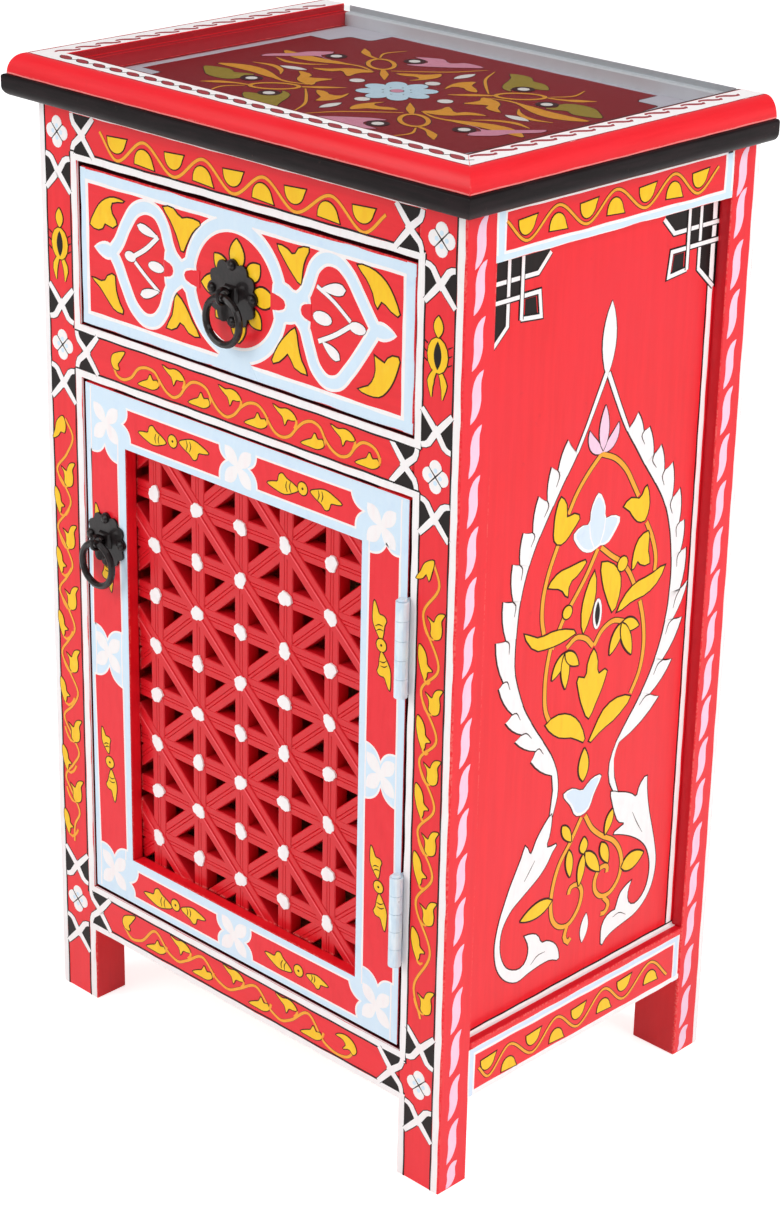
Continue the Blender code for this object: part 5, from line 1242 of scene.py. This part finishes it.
def rim_section():
    """Section of the rim: quarter ellipse outside, flat border, step down to the glass, ledge and foot."""
    angle = np.linspace(0, np.pi / 2, 22)
    foot = RIM_LOW.z
    tall = RIM_HIGH.z - foot
    outer = np.stack([(BORDER_OUT + 8.6 * np.cos(angle)) * MM, foot + tall * np.sin(angle)], axis=1)
    ledge = GLASS_LOW.z - 0.0002
    inner = [(-12.5 * MM, RIM_HIGH.z), (-12.5 * MM, ledge), (-17.5 * MM, ledge), (-17.5 * MM, foot)]
    return np.vstack([outer, inner])


def carried(name, section, line_from, line_to, smooth=0.5):
    """A section carried between two ends; each end gives, for every section point, its place in plan."""
    count = len(section)
    points = np.vstack([np.column_stack([line_from, section[:, 1]]),
                        np.column_stack([line_to, section[:, 1]])])
    k = np.arange(count)
    turn = (k + 1) % count
    faces = np.stack([k, k + count, turn + count, turn], axis=1).tolist()
    faces += [list(range(count)), list(range(count, 2 * count))[::-1]]
    flipped = signed_volume(points, faces) < 0
    faces = [face[::-1] for face in faces] if flipped else faces
    return build_mesh(name, points, faces, smooth)


def signed_volume(points, faces):
    """Sum of the signed tetrahedra from the middle of the points to each face's fan of triangles."""
    centre = np.mean(points, axis=0)
    total = 0.0
    for face in faces:
        p = points[np.asarray(face)] - centre
        total += np.sum(np.einsum("ij,ij->i", np.cross(np.broadcast_to(p[0], p[1:-1].shape), p[1:-1]),
                                  p[2:])) / 6
    return total


def top_mouldings():
    """Three rounded rims, mitred at the front corners, and a black nosing under them."""
    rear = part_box("rim_left")[1].y
    pieces = []
    for name, section in (("rim", rim_section()), ("nosing", nosing_section())):
        out = section[:, 0]
        ones = np.ones_like(out)
        ends = {
            "front": (np.column_stack([-SIDE - out, FRONT - out]),
                      np.column_stack([SIDE + out, FRONT - out])),
            "right": (np.column_stack([SIDE + out, FRONT - out]),
                      np.column_stack([SIDE + out, rear * ones])),
            "left": (np.column_stack([-SIDE - out, FRONT - out]),
                     np.column_stack([-SIDE - out, rear * ones])),
        }
        for where, (start, end) in ends.items():
            piece = carried(f"{name}_{where}_moulding", section, start, end)
            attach(piece, "carcass")
            if name == "rim":
                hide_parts(f"rim_{where}")
            pieces.append((name, piece))
    return pieces


def nosing_section():
    """Flat face a hair proud of the top board, with a wide round under it and a small round over it."""
    overhang = BOARD_HIGH.x - SIDE + 0.00005
    under, over = 6.0 * MM, 1.6 * MM
    low, high = BOARD_LOW.z - 0.00004, BOARD_HIGH.z + 0.00004
    angle = np.linspace(-np.pi / 2, 0, 12)
    below = np.stack([overhang - under + under * np.cos(angle), low + under + under * np.sin(angle)], axis=1)
    angle = np.linspace(0, np.pi / 2, 7)
    above = np.stack([overhang - over + over * np.cos(angle), high - over + over * np.sin(angle)], axis=1)
    back = [(0.002, high), (0.002, low)]
    return np.vstack([below, above, back])


def rear_batten():
    """A slim L-shaped strip under and behind the rear of the glass, closing the gap over the board."""
    low, high = BOARD_HIGH.z + 0.0001, GLASS_LOW.z - 0.0001
    near, stop, far = 0.1236, GLASS_HIGH.y + 0.0001, GLASS_HIGH.y + 0.0010
    lip = GLASS_HIGH.z - 0.0001
    section = np.array([(near, low), (far, low), (far, lip - 0.0003), (far - 0.0003, lip), (stop, lip),
                        (stop, high), (near + 0.0008, high), (near, high - 0.0008)])
    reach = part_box("rim_right")[0].x - 0.0002
    ones = np.ones(len(section))
    return carried("rear_batten", section, np.column_stack([-reach * ones, section[:, 0]]),
                   np.column_stack([reach * ones, section[:, 0]]))


class Tone:
    """A shader value; sums, differences, products and quotients of tones and numbers add Math nodes."""

    def __init__(self, finish, socket):
        self.finish = finish
        self.socket = socket

    def out(self, name):
        return Tone(self.finish, self.socket.node.outputs[name])

    def calc(self, operation, first, second):
        return self.finish.node("ShaderNodeMath", {"operation": operation}, {0: first, 1: second})

    def __add__(self, other):
        return self.calc("ADD", self, other)

    def __radd__(self, other):
        return self.calc("ADD", other, self)

    def __sub__(self, other):
        return self.calc("SUBTRACT", self, other)

    def __rsub__(self, other):
        return self.calc("SUBTRACT", other, self)

    def __mul__(self, other):
        return self.calc("MULTIPLY", self, other)

    def __rmul__(self, other):
        return self.calc("MULTIPLY", other, self)

    def __truediv__(self, other):
        return self.calc("DIVIDE", self, other)

    def least(self, other):
        return self.calc("MINIMUM", self, other)

    def most(self, other):
        return self.calc("MAXIMUM", self, other)


class Finish:
    """A material being made; node() adds any node, sets it first, then sets or links its sockets."""

    def __init__(self, name):
        self.material = bpy.data.materials.new(name)
        self.material.use_nodes = True
        self.tree = self.material.node_tree
        self.tree.nodes.clear()

    def node(self, kind, settings=None, sockets=None, out=0):
        made = self.tree.nodes.new(kind)
        for key, value in (settings or {}).items():
            setattr(made, key, value)
        for key, value in (sockets or {}).items():
            if isinstance(value, Tone):
                self.tree.links.new(value.socket, made.inputs[key])
            else:
                made.inputs[key].default_value = value
        return Tone(self, made.outputs[out])

    def place(self):
        return self.node("ShaderNodeTexCoord", out="Object")

    def stretched(self, scale, turn=(0, 0, 0)):
        return self.node("ShaderNodeMapping", None,
                         {"Vector": self.place(), "Scale": scale, "Rotation": turn})

    def noise(self, vector, scale, detail=4.0, rough=0.55, twist=0.0):
        sockets = {"Vector": vector, "Scale": scale, "Detail": detail, "Roughness": rough,
                   "Distortion": twist}
        return self.node("ShaderNodeTexNoise", None, sockets)

    def ease(self, value, low, high):
        """A smooth step from 0 at low to 1 at high."""
        sockets = {"Value": value, "From Min": low, "From Max": high}
        return self.node("ShaderNodeMapRange", {"interpolation_type": "SMOOTHSTEP"}, sockets)

    def blend(self, share, one, two):
        return self.node("ShaderNodeMix", {"data_type": "RGBA"}, {0: share, 6: one, 7: two}, out=2)

    def bump(self, height, strength, distance):
        return self.node("ShaderNodeBump", None, {"Height": height, "Strength": strength,
                                                  "Distance": distance})

    def surface(self, **sockets):
        names = {key.replace("_", " "): value for key, value in sockets.items()}
        return self.node("ShaderNodeBsdfPrincipled", None, names)

    def done(self, shader):
        made = self.tree.nodes.new("ShaderNodeOutputMaterial")
        self.tree.links.new(shader.socket, made.inputs["Surface"])
        return self.material


def rgb(red, green, blue):
    """A colour given on the 0 to 255 scale of a picture, as the linear colour that a shader takes."""
    parts = np.array([red, green, blue]) / 255.0
    linear = np.where(parts <= 0.04045, parts / 12.92, ((parts + 0.055) / 1.055) ** 2.4)
    return (float(linear[0]), float(linear[1]), float(linear[2]), 1.0)


def edge_distance(finish, low, high):
    """Distance to the nearest edge of a board's box: the middle one of its three distances to faces."""
    parts = finish.node("ShaderNodeSeparateXYZ", None, {"Vector": finish.place()})
    gaps = []
    for k, axis in enumerate("XYZ"):
        value = parts.out(axis)
        gaps.append((value - low[k]).least(high[k] - value))
    small = gaps[0].least(gaps[1])
    large = gaps[0].most(gaps[1])
    return small.most(large.least(gaps[2]))


GRAIN = {0: (14, 190, 190), 1: (190, 14, 190), 2: (190, 190, 14)}


def red_lacquer(name, low, high, deep=0.0):
    """Bright red brush lacquer: strokes along the board, soft blotches, rubbed edges and a pitted gloss."""
    finish = Finish(name)
    longest = int(np.argmax(np.asarray(high) - np.asarray(low)))
    strokes = finish.noise(finish.stretched(GRAIN[longest]), 1.0, 5.0, 0.6)
    blotch = finish.noise(finish.place(), 16.0, 3.0)
    specks = finish.noise(finish.place(), 620.0, 2.0)
    tone = finish.blend(finish.ease(strokes, 0.3, 0.72), rgb(232, 18, 32), rgb(242, 28, 40))
    tone = finish.blend(finish.ease(blotch, 0.35, 0.75) * 0.45, tone, rgb(238, 30, 50))
    # deep blends the whole board towards a dark red, a painted shade given for the lattice bars set back in
    # the door; the strokes darken it a little everywhere.
    tone = finish.blend(deep + strokes * 0.1, tone, rgb(176, 8, 22))
    edge = edge_distance(finish, low, high)
    rubbed = 1.0 - finish.ease(edge + (blotch - 0.5) * 0.004, 0.0002, 0.0016)
    tone = finish.blend(rubbed * finish.ease(specks, 0.42, 0.62) * 0.55, tone, rgb(246, 128, 120))
    dirt = finish.ease(finish.noise(finish.place(), 60.0, 6.0, 0.7), 0.62, 0.78)
    tone = finish.blend(dirt * 0.25, tone, rgb(168, 14, 26))
    rough = 0.30 + strokes * 0.14 + rubbed * 0.15
    height = strokes * 0.8 + specks * 0.25
    return finish.done(finish.surface(Base_Color=tone, Roughness=rough, Specular_IOR_Level=0.28,
                                      Coat_Weight=0.06,
                                      Coat_Roughness=0.18, Normal=finish.bump(height, 0.35, 0.0004)))


def brush_paint(name, main, shade, patch, rough=0.42, shine=0.3):
    """Hand paint: streaks of a thinner tone along the brush, small blotches and a soft relief."""
    finish = Finish(name)
    streak = finish.noise(finish.stretched((240, 240, 60), (0.3, 0.4, 0.2)), 1.0, 4.0, 0.6)
    blot = finish.noise(finish.place(), 90.0, 4.0, 0.6)
    specks = finish.noise(finish.place(), 900.0, 2.0)
    tone = finish.blend(finish.ease(streak, 0.42, 0.75) * 0.4, main, shade)
    tone = finish.blend(finish.ease(blot, 0.55, 0.78) * 0.5, tone, patch)
    tone = finish.blend(finish.ease(specks, 0.66, 0.8) * 0.3, tone, shade)
    height = streak * 0.7 + blot * 0.4 + specks * 0.15
    return finish.done(finish.surface(Base_Color=tone, Roughness=rough + streak * 0.12 - 0.06,
                                      Specular_IOR_Level=shine, Normal=finish.bump(height, 0.35, 0.0004)))


def black_gloss(name):
    """Glossy black paint on the top board's edge with faint strokes, dust and rubbed brown spots."""
    finish = Finish(name)
    strokes = finish.noise(finish.stretched((30, 30, 300)), 1.0, 5.0, 0.6)
    dust = finish.noise(finish.place(), 240.0, 5.0, 0.7)
    tone = finish.blend(finish.ease(strokes, 0.35, 0.7), rgb(15, 7, 9), rgb(30, 18, 21))
    tone = finish.blend(finish.ease(dust, 0.62, 0.74) * 0.4, tone, rgb(84, 58, 54))
    return finish.done(finish.surface(Base_Color=tone, Roughness=0.3 + dust * 0.2, Specular_IOR_Level=0.11,
                                      Normal=finish.bump(strokes + dust * 0.5, 0.3, 0.0003)))


def black_iron(name):
    """Forged blackened iron: hammer dimples, dull scale and polished high spots."""
    finish = Finish(name)
    dimple = finish.node("ShaderNodeTexVoronoi", None, {"Vector": finish.place(), "Scale": 420.0})
    scale = finish.noise(finish.place(), 300.0, 6.0, 0.65)
    wear = finish.ease(finish.noise(finish.place(), 90.0, 4.0), 0.52, 0.7)
    tone = finish.blend(finish.ease(scale, 0.35, 0.7), rgb(13, 7, 8), rgb(29, 19, 20))
    tone = finish.blend(wear * 0.2, tone, rgb(56, 42, 42))
    rough = 0.4 - wear * 0.1 + scale * 0.1
    return finish.done(finish.surface(Base_Color=tone, Roughness=rough, Specular_IOR_Level=0.2,
                                      Coat_Weight=0.24,
                                      Coat_Roughness=0.07,
                                      Normal=finish.bump(dimple + scale * 0.5, 0.2, 0.0004)))


def hinge_paint(name):
    """Pale blue paint over a steel hinge, chipped to dark metal here and there."""
    finish = Finish(name)
    blot = finish.noise(finish.place(), 160.0, 5.0, 0.65)
    streak = finish.noise(finish.stretched((260, 260, 60)), 1.0, 4.0)
    tone = finish.blend(finish.ease(streak, 0.35, 0.7), rgb(206, 228, 244), rgb(232, 244, 252))
    chip = finish.ease(blot, 0.68, 0.73)
    tone = finish.blend(chip * 0.8, tone, rgb(96, 88, 88))
    return finish.done(finish.surface(Base_Color=tone, Metallic=chip * 0.6,
                                      Roughness=0.42 - chip * 0.1 + streak * 0.1,
                                      Normal=finish.bump(streak * 0.6 - chip, 0.4, 0.0004)))


def bare_wood(name, low, high):
    """Unpainted softwood: growth rings stretched along the board, pores, streaks and handled edges."""
    finish = Finish(name)
    longest = int(np.argmax(np.asarray(high) - np.asarray(low)))
    scale = {0: (3, 46, 46), 1: (46, 3, 46), 2: (46, 46, 3)}[longest]
    rings = finish.noise(finish.stretched(scale), 1.0, 3.0, 0.45, 1.4)
    fine = finish.noise(finish.stretched(GRAIN[longest]), 2.6, 4.0, 0.7)
    wave = finish.node("ShaderNodeMath", {"operation": "SINE"}, {0: rings * 60.0})
    tone = finish.blend(finish.ease(wave, -0.8, 0.9), rgb(176, 132, 88), rgb(206, 166, 118))
    tone = finish.blend(finish.ease(fine, 0.5, 0.72) * 0.5, tone, rgb(140, 96, 60))
    edge = 1.0 - finish.ease(edge_distance(finish, low, high), 0.0, 0.004)
    tone = finish.blend(edge * 0.35, tone, rgb(120, 80, 50))
    return finish.done(finish.surface(Base_Color=tone, Roughness=0.62 + fine * 0.15,
                                      Normal=finish.bump(wave * 0.2 + fine, 0.35, 0.0004)))


def glass_finish(name):
    """Float glass: clear faces, darker cut edges, a mirror that grows at a slant, and faint smears."""
    finish = Finish(name)
    normal = finish.node("ShaderNodeNewGeometry", out="Normal")
    upright = finish.node("ShaderNodeSeparateXYZ", None, {"Vector": normal}).out("Z")
    level = finish.node("ShaderNodeMath", {"operation": "ABSOLUTE"}, {0: upright})
    clear = finish.node("ShaderNodeBsdfTransparent", None, {"Color": (0.93, 0.94, 0.94, 1.0)})
    edge = finish.node("ShaderNodeBsdfTransparent", None, {"Color": (0.80, 0.82, 0.82, 1.0)})
    body = finish.node("ShaderNodeMixShader", None, {0: finish.ease(level, 0.3, 0.7), 1: edge, 2: clear})
    smear = finish.noise(finish.stretched((20, 60, 20)), 1.0, 5.0, 0.6)
    mirror = finish.node("ShaderNodeBsdfAnisotropic", None,
                         {"Color": (1.0, 1.0, 1.0, 1.0), "Roughness": 0.06 + smear * 0.1})
    facing = finish.node("ShaderNodeLayerWeight", None, {"Blend": 0.5}, out="Facing")
    share = 0.003 + 0.05 * facing * facing * facing * facing * facing
    return finish.done(finish.node("ShaderNodeMixShader", None,
                                   {0: share * (0.9 + smear * 0.2), 1: body, 2: mirror}))


def floor_finish(name):
    """Pale floor: a white glow to the camera and in reflections, added to the shaded matt floor."""
    finish = Finish(name)
    mottle = finish.noise(finish.place(), 3.0, 3.0)
    tone = finish.blend(mottle, rgb(240, 239, 238), rgb(246, 246, 246))
    matt = finish.surface(Base_Color=tone, Roughness=0.7)
    glow = finish.node("ShaderNodeEmission", None, {"Color": (1.0, 1.0, 1.0, 1.0), "Strength": 0.76})
    path = finish.node("ShaderNodeLightPath", out="Is Camera Ray")
    seen = path.most(path.out("Is Glossy Ray")).most(path.out("Is Transmission Ray"))
    shown = finish.node("ShaderNodeMixShader", None, {0: seen, 2: glow})
    return finish.done(finish.node("ShaderNodeAddShader", None, {0: matt, 1: shown}))


# Paints of the ornament: name, main tone, thin streak tone and blotch tone, then roughness and shine
PAINTS = {
    "white": ("white_paint", (249, 245, 245), (247, 230, 232), (240, 233, 235)),
    "pale_blue": ("pale_blue_paint", (214, 234, 250), (224, 240, 252), (200, 222, 246)),
    "ice": ("ice_blue_paint", (216, 230, 248), (226, 236, 250), (200, 218, 244)),
    "yellow": ("yellow_paint", (250, 199, 19), (244, 171, 16), (252, 213, 60)),
    "orange": ("orange_paint", (246, 167, 38), (238, 138, 30), (250, 186, 62)),
    "pink": ("pink_paint", (246, 204, 226), (240, 184, 212), (250, 216, 234)),
    "black": ("black_paint_lines", (19, 9, 9), (36, 19, 19), (13, 6, 6), 0.45, 0.15),
    "outline": ("brown_outline", (54, 15, 9), (78, 22, 13), (38, 10, 7), 0.5, 0.15),
    "rust": ("rust_outline", (166, 52, 22), (186, 66, 26), (140, 40, 18)),
    "blush": ("blush_edge", (248, 138, 134), (240, 108, 108), (252, 170, 164)),
    "red": ("red_field_paint", (236, 26, 42), (220, 18, 32), (242, 40, 52), 0.36),
    "crimson": ("crimson_paint", (158, 26, 40), (124, 18, 30), (180, 42, 54)),
    "wine": ("wine_paint", (186, 20, 36), (166, 15, 28), (198, 32, 46)),
    "garnet": ("garnet_paint", (216, 24, 40), (198, 18, 32), (222, 38, 50)),
    "bead": ("bead_highlight", (238, 84, 92), (228, 60, 70), (244, 120, 124)),
    "maroon": ("maroon_ground", (138, 15, 27), (122, 11, 22), (148, 22, 34), 0.5, 0.08),
    "maroon_dark": ("maroon_line", (62, 10, 18), (50, 7, 14), (76, 15, 24), 0.5, 0.08),
    "sky": ("sky_paint", (196, 216, 230), (180, 204, 222), (208, 226, 236), 0.5, 0.1),
    "lilac": ("lilac_paint", (196, 190, 200), (186, 178, 190), (206, 201, 208), 0.5, 0.1),
    "milk": ("milk_paint", (232, 222, 218), (216, 204, 202), (238, 232, 228), 0.5, 0.1),
    "rose": ("rose_paint", (218, 140, 162), (200, 118, 144), (228, 164, 182), 0.5, 0.1),
    "mustard": ("mustard_paint", (226, 150, 40), (204, 124, 30), (236, 172, 62), 0.5, 0.1),
    "olive": ("olive_paint", (156, 130, 40), (132, 108, 30), (174, 148, 58), 0.5, 0.1),
    "grey": ("grey_batten_paint", (206, 207, 212), (194, 195, 201), (214, 214, 218)),
}


def paint_finishes():
    """A brush paint for every row of the table of paints."""
    made = {}
    for colour, (name, main, shade, patch, *gloss) in PAINTS.items():
        made[colour] = brush_paint(name, rgb(*main), rgb(*shade), rgb(*patch), *gloss)
    return made


def dress_nodes():
    """A finish for every CAD node by the record's slot; boards get their own box for edges and grain."""
    iron = black_iron("forged_iron")
    blue = hinge_paint("hinge_blue")
    glass = glass_finish("float_glass")
    gloss = black_gloss("black_board_gloss")
    for part in frame["record"]["subparts"]:
        node, slot = part["node"], part["material_slot"]
        low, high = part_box(node)
        if slot == "red_paint":
            made = red_lacquer(f"lacquer_{node}", low, high)
        elif slot == "bare_wood":
            made = bare_wood(f"wood_{node}", low, high)
        else:
            made = {"black_iron": iron, "blue_paint": blue, "clear_glass": glass, "black_paint": gloss}[slot]
        holder = frame["nodes"][node]
        holder.data.materials.clear()
        holder.data.materials.append(made)
    return gloss


def dress_mouldings(gloss):
    """Red lacquer on the three rims and black gloss on the nosing."""
    for kind, piece in top_mouldings():
        corners = np.array([v.co for v in piece.data.vertices])
        if kind == "rim":
            piece.data.materials.append(red_lacquer(f"lacquer_{piece.name}", corners.min(axis=0),
                                                    corners.max(axis=0)))
        else:
            piece.data.materials.append(gloss)


def dress_lattice(painted_glint):
    """The lattice bars stand for the plain lattice sheet; their beads carry painted highlight lines."""
    piece, lines = lattice_pieces()
    lines.data.materials.append(painted_glint)
    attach(lines, "door")
    low = (LATTICE_LEFT, LATTICE_FACE, LATTICE_BASE)
    high = (LATTICE_RIGHT, LATTICE_BACK, LATTICE_TOP)
    # The bars are darkened with deep: painted shade of the door's recess.
    piece.data.materials.append(red_lacquer("lacquer_lattice_bars", low, high, deep=0.35))
    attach(piece, "door")
    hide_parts("door_lattice")


FLOOR_REACH = 4.0


def lay_floor():
    """A pale floor, level under the feet and turning up behind: a grid whose height rises past a line."""
    u, v = np.meshgrid(np.linspace(-1, 1, 25), np.linspace(-1, 1, 49), indexing="ij")
    back = np.clip((v * FLOOR_REACH - 2.2) / 1.8, 0, 1)
    points = np.stack([u * FLOOR_REACH, v * FLOOR_REACH, 1.6 * back**2], axis=-1).reshape(-1, 3)
    i, j = np.meshgrid(np.arange(24), np.arange(48), indexing="ij")
    here = (i * 49 + j).ravel()
    floor = build_mesh("pale_floor", points, np.stack([here, here + 49, here + 50, here + 1],
                                                      axis=1).tolist(), 1.0)
    floor.data.materials.append(floor_finish("floor_white"))


def soft_lamp(name, place, aim, size, power):
    """A square soft box at a place, turned to face the aim."""
    lamp = bpy.data.lights.new(name, "AREA")
    lamp.shape = "SQUARE"
    lamp.size = size
    lamp.energy = power
    holder = bpy.data.objects.new(name, lamp)
    holder.location = place
    holder.rotation_euler = (Vector(aim) - Vector(place)).to_track_quat("-Z", "Y").to_euler()
    bpy.context.scene.collection.objects.link(holder)


def light_studio():
    """Two large soft boxes and one overhead, with an even pale sky that is plain white to the camera."""
    world = bpy.data.worlds.new("studio_sky")
    bpy.context.scene.world = world
    world.use_nodes = True
    tree = world.node_tree
    tree.nodes.clear()
    skies = []
    for strength in (0.36, 1.0):
        sky = tree.nodes.new("ShaderNodeBackground")
        sky.inputs["Color"].default_value = (1.0, 1.0, 1.0, 1.0)
        sky.inputs["Strength"].default_value = strength
        skies.append(sky)
    path = tree.nodes.new("ShaderNodeLightPath")
    either = tree.nodes.new("ShaderNodeMath")
    either.operation = "MAXIMUM"
    tree.links.new(path.outputs["Is Camera Ray"], either.inputs[0])
    tree.links.new(path.outputs["Is Transmission Ray"], either.inputs[1])
    choose = tree.nodes.new("ShaderNodeMixShader")
    tree.links.new(either.outputs[0], choose.inputs[0])
    for socket, sky in enumerate(skies, 1):
        tree.links.new(sky.outputs[0], choose.inputs[socket])
    output = tree.nodes.new("ShaderNodeOutputWorld")
    tree.links.new(choose.outputs[0], output.inputs["Surface"])
    soft_lamp("left_soft_box", (-1.1, -2.4, 1.7), (0, 0, 0.3), 1.8, 41.0)
    soft_lamp("right_soft_box", (2.4, 0.4, 1.6), (0, 0, 0.3), 1.6, 40.0)
    soft_lamp("overhead_soft_box", (0.2, -0.3, 2.8), (0, 0, 0.5), 1.8, 18.0)


CAMERA_PLACE = (1.131, -1.16625, 0.995)
CAMERA_AZIMUTH = 43.77
CAMERA_ELEVATION = 23.14
CAMERA_ROLL = 1.21
FOCAL_PIXELS = 2810.0
FRAME_TALL = 1205.0
SENSOR = 36.0


def set_camera():
    """Camera turned by azimuth and elevation about the stand, then rolled about its own axis."""
    azimuth, elevation, roll = (math.radians(a) for a in (CAMERA_AZIMUTH, CAMERA_ELEVATION, CAMERA_ROLL))
    back = Vector((math.sin(azimuth) * math.cos(elevation), -math.cos(azimuth) * math.cos(elevation),
                   math.sin(elevation)))
    right = Vector((math.cos(azimuth), math.sin(azimuth), 0.0))
    up = back.cross(right)
    turned_right = math.cos(roll) * right + math.sin(roll) * up
    turned_up = -math.sin(roll) * right + math.cos(roll) * up
    data = bpy.data.cameras.new("camera")
    data.sensor_fit = "VERTICAL"
    data.sensor_height = SENSOR
    data.lens = FOCAL_PIXELS * SENSOR / FRAME_TALL
    camera = bpy.data.objects.new("camera", data)
    matrix = Matrix((turned_right, turned_up, back)).transposed().to_4x4()
    matrix.translation = Vector(CAMERA_PLACE)
    camera.matrix_world = matrix
    bpy.context.scene.collection.objects.link(camera)
    bpy.context.scene.camera = camera


paint_posts()
paint_post_vines()
bud_figure(FRONT_SHEET, -158.2, 538, 522, 499)
bud_figure(FRONT_SHEET, 156.6, 543, 527, 503)
paint_front_rails()
paint_drawer()
paint_door()
for side_sheet, panel_sheet in ((RIGHT_SHEET, RIGHT_PANEL_SHEET), (LEFT_SHEET, LEFT_PANEL_SHEET)):
    paint_side_posts(side_sheet)
    paint_side_rails(side_sheet)
    paint_panel(panel_sheet)
paint_table()
paint_rims()
paint_reveals()
paint_lattice()
board_gloss = dress_nodes()
dress_mouldings(board_gloss)
paints = paint_finishes()
dress_lattice(paints["bead"])
gather_paint(paints)
batten = rear_batten()
batten.data.materials.append(paints["grey"])
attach(batten, "carcass")
lay_floor()
light_studio()
set_camera()
bpy.context.scene.view_settings.view_transform = "Standard"
